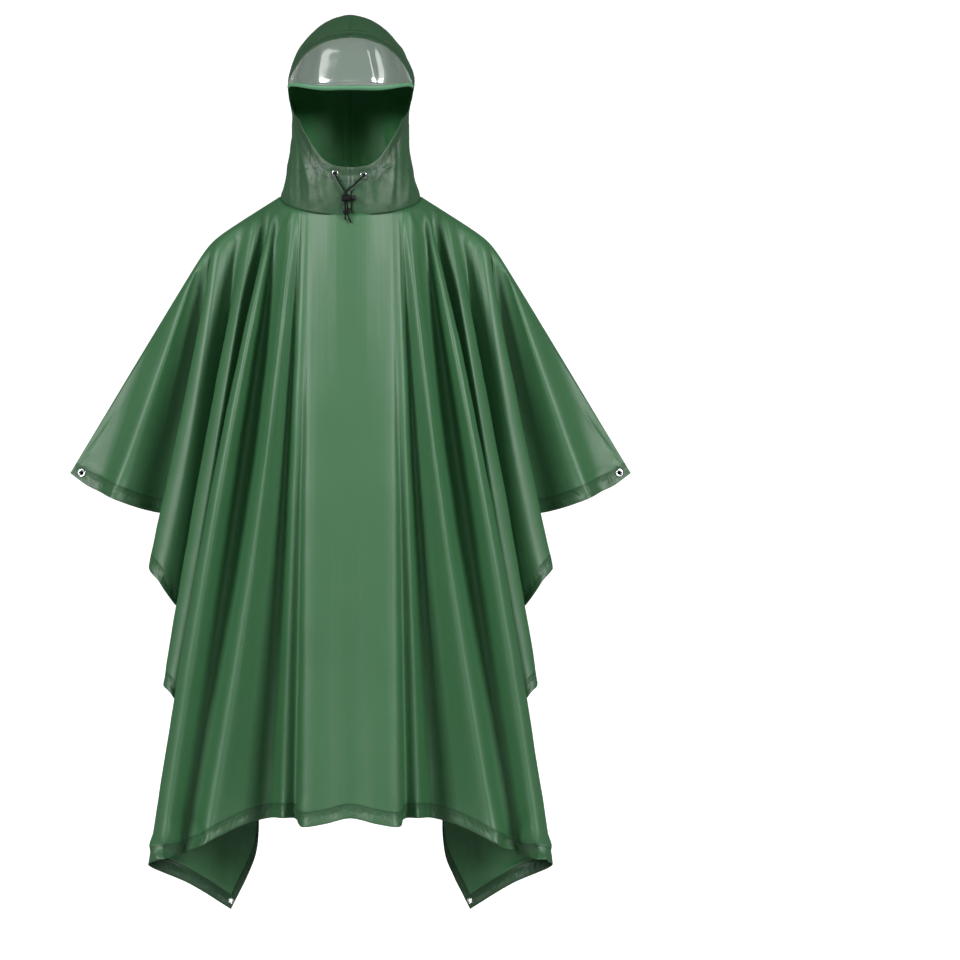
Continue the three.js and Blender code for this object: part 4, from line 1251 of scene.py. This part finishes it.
def hoodHalf(name, side):
    s = hoodSizes
    z = hoodHeights()
    share = np.linspace(0, 1, s["columns"] + 1)
    level = [column[:, None] for column in hoodLevel(z)]
    angle = level[3] * share
    z = np.broadcast_to(z[:, None], angle.shape)
    points = hoodPoint(angle, z, level)
    around = np.radians(angle) * 115
    # Distance from the free edge of the opening
    free = (z[:, 0] > s["chinZ"] - 0.5) & (z[:, 0] < s["crownZ"] + 0.5)
    rim = points[free, -1]
    off = np.linalg.norm(points[:, :, None] - rim[None, None], axis=-1)
    fromEdge = off.min(axis=-1)
    height = np.zeros(angle.shape)
    for row in hoodCreases:
        if row[0] != side:
            continue
        u0, u1 = (math.radians(a) * 115 for a in (row[1], row[3]))
        height += softRidge(around, z, u0, row[2], u1, row[4], row[5], row[6], row[7])
    for row in chinGathers:
        if row[0] != side:
            continue
        u0 = math.radians(row[1]) * 115
        height += softRidge(
            around, z, u0 - row[4] / 2, row[2] - row[3] / 2, u0 + row[4] / 2,
            row[2] + row[3] / 2, 2.2, 1.5 * row[5],
        )
    height += 0.9 * noiseOn(points / 26, 3 + side) + 0.35 * noiseOn(points / 9, 11 + side)
    # Centre seam at the back, over the crown and under the chin, the casing and the neck seam
    onSeam = np.abs(points[..., 0])
    trough = s["seamDepth"] * np.exp(-((onSeam / s["seamWidth"]) ** 2))
    trough = trough * np.where(angle > 120, s["chinShare"], 1) + 0.8 * np.exp(
        -((onSeam / 9) ** 2)
    ) * noiseOn(points / 7, 41) * (z > s["crownZ"])
    height = height * np.clip(onSeam / 10, 0, 1) - trough
    casing = np.exp(-(((fromEdge - s["casing"]) / s["casingWidth"]) ** 2))
    height -= s["casingDepth"] * casing
    height *= np.clip(fromEdge / 5, 0, 1) * 0.8 + 0.2
    low = np.clip(z / 6, 0, 1)
    height = height * low - 0.5 * (1 - low)
    normals = gridNormals(points)
    outwards = points * np.array([1, 1, 0])
    facing = np.sign(np.sum(normals * outwards, axis=-1).mean())
    points = points + normals * (height * facing)[..., None]
    points[..., 0] = np.minimum(points[..., 0], -s["fromSeam"])
    points = points * np.array([-side, 1, 1])
    # The lowest row goes down behind the body's wall
    under = points[:1] * np.array([0.993, 0.993, 1]) - np.array([0, 0, s["neckUnder"]])
    points = np.concatenate([under, points])
    around = np.concatenate([around[:1], around])
    fromEdge = np.concatenate([fromEdge[:1] + s["neckUnder"], fromEdge])
    node = "eyelet_hood_left" if side < 0 else "eyelet_hood_right"
    place = eyeletPlace(node)
    points = flattenAround(points, place, 7)
    half = sheetMesh(
        name, points, around, fromEdge, (side, 0, 0), [hoodOutsidePaintedShade, hoodInsidePaintedLight],
        s["thickness"], [(place, 3.6, 10, 3)],
    )
    # Rows of stitches: along the casing of the face opening, and round the clear panel
    normals = gridNormals(points)
    normals *= np.sign((normals * points * np.array([1, 1, 0])).sum(axis=-1).mean())
    rows = []
    for inset, lowest, highest in ((s["casing"], 30, 186), (s["visorStitch"], 206, 266)):
        path, outwards = [], []
        for r in range(1, len(points)):
            if not lowest < points[r, 0, 2] < highest:
                continue
            c = int(np.argmax(fromEdge[r] < inset))
            if c == 0:
                continue
            path.append(points[r, c] + normals[r, c] * s["thickness"] / 2)
            outwards.append(normals[r, c])
        rows.append((np.array(path), np.array(outwards)))
    stitches = stitchPiece(name + "Stitches", rows)
    # Tape over the back seam on the inside
    height, tape = points[1:, 0, 2], []
    inner = points - normals * s["tapeOff"]
    chosen = [r + 1 for r in range(len(height)) if 12 < height[r] < 300]
    share = np.linspace(0, 1, 9)
    for r in chosen:
        run = np.abs(inner[r, :, 0])
        stop = min(s["tapeWidth"], run.max())
        ahead = run[: int(np.argmax(run))]
        keys = np.arange(len(ahead))
        spots = np.interp(share * stop, ahead, keys)
        tape.append([[np.interp(k, keys, inner[r, : len(ahead), a]) for a in range(3)] for k in spots])
    tape = np.array(tape)
    band = sheetMesh(
        name + "Tape", tape, tape[..., 0], 30 + 0 * tape[..., 2], (side, 0, 0),
        [hoodInsidePaintedLight, hoodInsidePaintedLight], s["tapeThickness"],
    )
    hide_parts("hood_left" if side < 0 else "hood_right")
    for piece in (half, band, stitches):
        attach(piece, "garment")


hoodHalf("hoodLeft", -1)
hoodHalf("hoodRight", 1)
print("hood ready")

# Clear visor and its binding, in millimetres
visorSizes = {
    "lowZ": 183,
    "endZ": 200,
    "endAngle": 103,
    "lowAngle": 165,
    "sideZ": 202,
    "topZ": 269,
    "columns": 96,
    "rows": 22,
    "thickness": 0.5,
    "under": 5.0,
}
bindingSizes = {"height": 6.5, "bulge": 1.5, "columns": 120}
# Ripples of the film: angle from the centre front, width, height, and how far they lean
visorRipples = [
    (-52, 6, 1.0, 4),
    (-38, 5, -1.1, -3),
    (-27, 4, 0.9, 2),
    (-13, 7, -0.9, -4),
    (3, 5, 0.7, 2),
    (15, 4, 1.2, 5),
    (22, 3.5, -1.2, 3),
    (34, 5, 1.0, -4),
    (46, 4, -1.1, 3),
    (58, 5, 0.9, 2),
]


def visorLowZ(angle):
    s = visorSizes
    along = (angle - s["endAngle"]) / (s["lowAngle"] - s["endAngle"])
    return mix(s["endZ"], s["lowZ"], smoothStep(along))


def visorHighZ(angle):
    # Height of the hood's edge above the visor at an angle
    heights = np.linspace(visorSizes["sideZ"], visorSizes["topZ"], 300)
    edges = np.maximum.accumulate(hoodLevel(heights)[3])
    return np.interp(angle, edges, heights)


def frontPoint(turn, z):
    # Point of the visor at an angle from the centre front, positive to the right
    angle = 180 - np.abs(turn)
    point = hoodPoint(angle, z, hoodLevel(z))
    point[..., 0] = np.where(turn > 0, 1, -1) * (np.abs(point[..., 0]) - hoodSizes["fromSeam"])
    return point


def visorFilm():
    s = visorSizes
    start = 180 - hoodLevel(visorLowZ(np.array([s["endAngle"]])))[3][0]
    turn = np.linspace(-start, start, s["columns"] + 1)[None, :]
    part = np.linspace(0, 1, s["rows"] + 1)[:, None]
    low = visorLowZ(180 - np.abs(turn))
    high = np.maximum(visorHighZ(180 - np.abs(turn)) + s["under"], low + 1)
    z = mix(high, low, part)
    points = frontPoint(np.broadcast_to(turn, z.shape), z)
    normals = gridNormals(points)
    facing = np.sign(np.sum(normals * points * np.array([1, 1, 0]), axis=-1).mean())
    height = np.zeros(z.shape)
    for centre, width, depth, lean in visorRipples:
        height += depth * np.exp(-(((turn - centre - lean * (part - 0.5)) / width) ** 2))
    height = height * np.sin(np.pi * np.clip(part * 0.92 + 0.04, 0, 1)) - 1.2 * (1 - part) ** 2
    points = points + normals * (height * facing)[..., None]
    around = np.radians(turn) * 120 + 0 * z
    return sheetMesh(
        "visorFilm", points, around, z - low, (0, -1, 0), [visorClear], s["thickness"]
    )


def visorBinding():
    # Folded strip over the film's lower edge
    s = bindingSizes
    start = 180 - hoodLevel(visorLowZ(np.array([visorSizes["endAngle"]])))[3][0]
    turn = np.linspace(-start, start, s["columns"] + 1)[None, :]
    turns = np.linspace(0, 2 * math.pi, 15)[:, None]
    low = visorLowZ(180 - np.abs(turn))
    z = low + 0.5 - s["height"] / 2 + s["height"] / 2 * np.cos(turns)
    points = frontPoint(np.broadcast_to(turn, z.shape), z)
    flat = points * np.array([1, 1, 0])
    flat /= np.linalg.norm(flat, axis=-1, keepdims=True)
    points = points + flat * (s["bulge"] * np.sin(turns) + 0 * z)[..., None]
    bm = bmesh.new()
    rings = points.shape[1]
    bmesh.ops.create_grid(bm, x_segments=rings - 1, y_segments=points.shape[0] - 1, size=1)
    bm.verts.ensure_lookup_table()
    for vert, point in zip(bm.verts, points.reshape(-1, 3)):
        vert.co = point * mm
    bmesh.ops.remove_doubles(bm, verts=bm.verts, dist=0.02 * mm)
    maps = bm.loops.layers.uv.new("cut")
    ends = [e for e in bm.edges if e.is_boundary]
    bmesh.ops.holes_fill(bm, edges=ends, sides=0)
    bmesh.ops.recalc_face_normals(bm, faces=bm.faces)
    for face in bm.faces:
        face.smooth = len(face.verts) < 5
        for loop in face.loops:
            loop[maps].uv = (loop.vert.co.x, 0.1 + loop.vert.co.z)
    return meshPiece("visorEdge", bm, [clothBinding])


visorFilmPiece = visorFilm()
visorEdge = visorBinding()
for piece, node, slot in (
    (visorFilmPiece, "visor", "clear_film"),
    (visorEdge, "visor_binding", "cloth"),
):
    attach(piece, "garment")
    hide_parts(node)
print("visor ready")

# Drawstring, its lock and knot, in millimetres
cordSizes = {
    "diameter": 3.0,
    "step": 1.2,
    "sides": 14,
    "lockY": -135,
    "lockX": {-1: -9.4, 1: -5.6},
    "lockTop": 5.8,
    "lockAbove": 10.8,
    "knot": (-6.5, -131.6, -22.0),
    "apart": 1.86,
    "knotHalf": 4.45,
    "tail": {-1: (-8.4, -131.0, -36.0), 1: (0.8, -131.0, -41.0)},
}
lockSizes = {
    "left": -15.0,
    "right": 0.0,
    "radius": 5.5,
    "round": 1.5,
    "boreRadius": 2.75,
    "boreDepth": 3.7,
    "holeX": -7.5,
    "holeHalf": 1.9,
    "holeRadius": 1.85,
    "turnSteps": 72,
    "wallStep": 0.4,
}
plungerSizes = {"stem": 2.4, "stemStart": -0.1, "head": 4.4, "headStart": 3.8, "headEnd": 8.8}


def resampled(points, step):
    # Even steps along a smooth curve through the points
    given = np.array(points, float)
    padded = np.vstack([2 * given[0] - given[1], given, 2 * given[-1] - given[-2]])
    fine = []
    for i in range(1, len(padded) - 2):
        p0, p1, p2, p3 = padded[i - 1 : i + 3]
        for u in np.linspace(0, 1, 24, endpoint=False):
            curve = 2 * p1 + (p2 - p0) * u + (2 * p0 - 5 * p1 + 4 * p2 - p3) * u**2
            fine.append((curve + (3 * p1 - p0 - 3 * p2 + p3) * u**3) / 2)
    fine = np.array(fine + [given[-1]])
    run = np.concatenate([[0], np.cumsum(np.linalg.norm(np.diff(fine, axis=0), axis=1))])
    count = max(2, round(run[-1] / step))
    wanted = np.linspace(0, run[-1], count + 1)
    return np.stack([np.interp(wanted, run, fine[:, k]) for k in range(3)], axis=1), run[-1]


def tubePiece(name, path, radius, ends, material):
    # Round tube along the path, with rounded ends
    ahead = np.gradient(path, axis=0)
    ahead /= np.linalg.norm(ahead, axis=1, keepdims=True)
    across = np.cross(ahead[0], (0.0, 1.0, 0.1))
    rings = []
    for k in range(len(path)):
        across = across - ahead[k] * (across @ ahead[k])
        across /= np.linalg.norm(across)
        up = np.cross(ahead[k], across)
        angles = np.linspace(0, 2 * math.pi, cordSizes["sides"] + 1)
        spokes = np.cos(angles)[:, None] * across + np.sin(angles)[:, None] * up
        rings.append(path[k] + radius[k] * spokes)
    points = np.array(rings)
    bm = bmesh.new()
    rows, columns = points.shape[:2]
    bmesh.ops.create_grid(bm, x_segments=columns - 1, y_segments=rows - 1, size=1)
    bm.verts.ensure_lookup_table()
    for vert, point in zip(bm.verts, points.reshape(-1, 3)):
        vert.co = point * mm
    maps = bm.loops.layers.uv.new("cut")
    along = np.linspace(0, ends * mm, rows)
    for face in bm.faces:
        for loop in face.loops:
            row, column = divmod(loop.vert.index, columns)
            loop[maps].uv = (column / (columns - 1), along[row])
    bmesh.ops.remove_doubles(bm, verts=bm.verts, dist=0.005 * mm)
    bmesh.ops.holes_fill(bm, edges=[e for e in bm.edges if e.is_boundary], sides=0)
    bmesh.ops.recalc_face_normals(bm, faces=bm.faces)
    for face in bm.faces:
        face.smooth = True
    return meshPiece(name, bm, [material])


def cordStrand(side):
    s = cordSizes
    centre, axis = eyeletPlace("eyelet_hood_left" if side < 0 else "eyelet_hood_right")
    centre, axis = np.array(centre[:]) / mm, np.array(axis[:])
    x, y = s["lockX"][side], s["lockY"]
    knot = np.array(s["knot"])
    near = knot[0] + side * s["apart"]
    lifted = centre + axis * 5 - np.array([0, 0, 1.4])
    above = np.array([x, y, s["lockAbove"]])
    middle = (lifted + above) / 2 - np.array([0, 1, 0])
    points = [
        centre - axis * 3, centre, centre + axis * 2.8, lifted, middle, above,
        (x, y, s["lockTop"]), (x, y, -s["lockTop"]),
        (near, knot[1], knot[2] + s["knotHalf"]), (near, knot[1], knot[2] - s["knotHalf"]),
        s["tail"][side],
    ]
    path, length = resampled(points, s["step"])
    radius = np.full(len(path), s["diameter"] / 2)
    # The cut ends are melted to a blunt point
    radius[0] *= 0.5
    radius[-1] *= 0.45
    radius[-2] *= 0.85
    name = "cordLeft" if side < 0 else "cordRight"
    strand = tubePiece(name, path, radius, length, braidedCord)
    return strand, path, length


def knotPiece():
    # Two turns of the cord drawn tight round both strands
    centre = np.array(cordSizes["knot"])
    angles = np.linspace(0, 4.4 * math.pi, 90)
    rise = np.linspace(-3.4, 3.2, 90)
    path = np.stack(
        [
            centre[0] + (4.3 + 0.5 * np.sin(1.7 * angles)) * np.cos(angles),
            centre[1] + 3.1 * np.sin(angles),
            centre[2] + rise + 1.5 * np.cos(angles - 0.6),
        ],
        axis=1,
    )
    length = np.linalg.norm(np.diff(path, axis=0), axis=1).sum()
    radius = np.full(len(path), 1.7)
    radius[0] = radius[-1] = 0.7
    return tubePiece("cordKnot", path, radius, length, braidedCord)


def spunPart(name, profile, keep=None):
    # Profile of places along x and radii, turned about the lock's line
    bm = bmesh.new()
    y = cordSizes["lockY"]
    line = [bm.verts.new(Vector((x, y + r, 0)) * mm) for x, r in profile]
    edges = [bm.edges.new(pair) for pair in zip(line, line[1:])]
    bmesh.ops.spin(
        bm, geom=line + edges, cent=(0, y * mm, 0), axis=(1, 0, 0), angle=2 * math.pi,
        steps=lockSizes["turnSteps"], use_merge=True,
    )
    bmesh.ops.remove_doubles(bm, verts=bm.verts, dist=0.004 * mm)
    bmesh.ops.recalc_face_normals(bm, faces=bm.faces)
    if keep:
        keep(bm)
    for face in bm.faces:
        face.smooth = True
    piece = meshPiece(name, bm, [mouldedPlastic])
    return piece


def crossHole(bm):
    # Long hole through the barrel for both strands
    s = lockSizes
    y = cordSizes["lockY"]

    def holeOff(point):
        along = point.x / mm - s["holeX"]
        along -= max(-s["holeHalf"], min(s["holeHalf"], along))
        return Vector((along, point.y / mm - y, 0))

    outer = s["radius"] * 0.75
    for way in (1, -1):
        gone = []
        for face in bm.faces:
            middle = face.calc_center_median()
            if way * middle.z > outer * mm and holeOff(middle).length < s["holeRadius"]:
                gone.append(face)
        bmesh.ops.delete(bm, geom=gone, context="FACES")
    rim = [edge for edge in bm.edges if edge.is_boundary]
    for vert in {v for edge in rim for v in edge.verts}:
        off = holeOff(vert.co)
        move = off.normalized() * (s["holeRadius"] - off.length)
        vert.co.x += move.x * mm
        vert.co.y += move.y * mm
    bmesh.ops.bridge_loops(bm, edges=rim)
    bmesh.ops.recalc_face_normals(bm, faces=bm.faces)


def lockBarrel():
    s = lockSizes
    left, right, radius, curve = s["left"], s["right"], s["radius"], s["round"]
    arc = [math.radians(90 * k / 6) for k in range(7)]
    profile = [(left, 0.0), (left, radius - curve - 1)]
    profile += [
        (left + curve * (1 - math.sin(a)), radius - curve * (1 - math.cos(a)))
        for a in reversed(arc)
    ]
    walls = np.arange(left + curve + s["wallStep"], right - curve, s["wallStep"])
    profile += [(x, radius) for x in walls]
    profile += [
        (right - curve * (1 - math.sin(a)), radius - curve * (1 - math.cos(a))) for a in arc
    ][::-1][::-1]
    bore = s["boreRadius"]
    profile += [(right, bore + 0.4), (right - 0.3, bore), (right - s["boreDepth"], bore)]
    profile += [(right - s["boreDepth"], 0.0)]
    return spunPart("lockBarrel", profile, crossHole)


def lockPlunger():
    s = plungerSizes
    head, start, end = s["head"], s["headStart"], s["headEnd"]
    profile = [(s["stemStart"], 0.0), (s["stemStart"], s["stem"] - 0.3)]
    profile += [(s["stemStart"] + 0.3, s["stem"]), (start - 0.3, s["stem"])]
    profile += [(start, s["stem"] + 0.3), (start, head - 0.6), (start + 0.5, head)]
    profile += [(start + 1.4, head), (start + 1.7, head - 0.25), (start + 2.0, head)]
    for k in range(9):
        angle = math.radians(90 * k / 8)
        profile.append((end - 1.8 + 1.8 * math.sin(angle), head - 1.6 + 1.6 * math.cos(angle)))
    profile += [(end - 0.35, 1.2), (end - 0.4, 0.0)]
    return spunPart("lockPlunger", profile)


barrel = lockBarrel()
plunger = lockPlunger()
knot = knotPiece()
for piece, node, slot in (
    (barrel, "cord_lock", "lock_plastic"),
    (plunger, "plunger", "lock_plastic"),
    (knot, "knot", "cord"),
):
    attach(piece, "lock_button" if node == "plunger" else "garment")
    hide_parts(node)
for side, name in ((-1, "left"), (1, "right")):
    strand, path, length = cordStrand(side)
    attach(strand, "garment")
    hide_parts("drawstring_" + name, "drawstring_" + name + "_low", "tail_" + name)
    print("cord", name, round(length, 1))
print("drawstring ready")
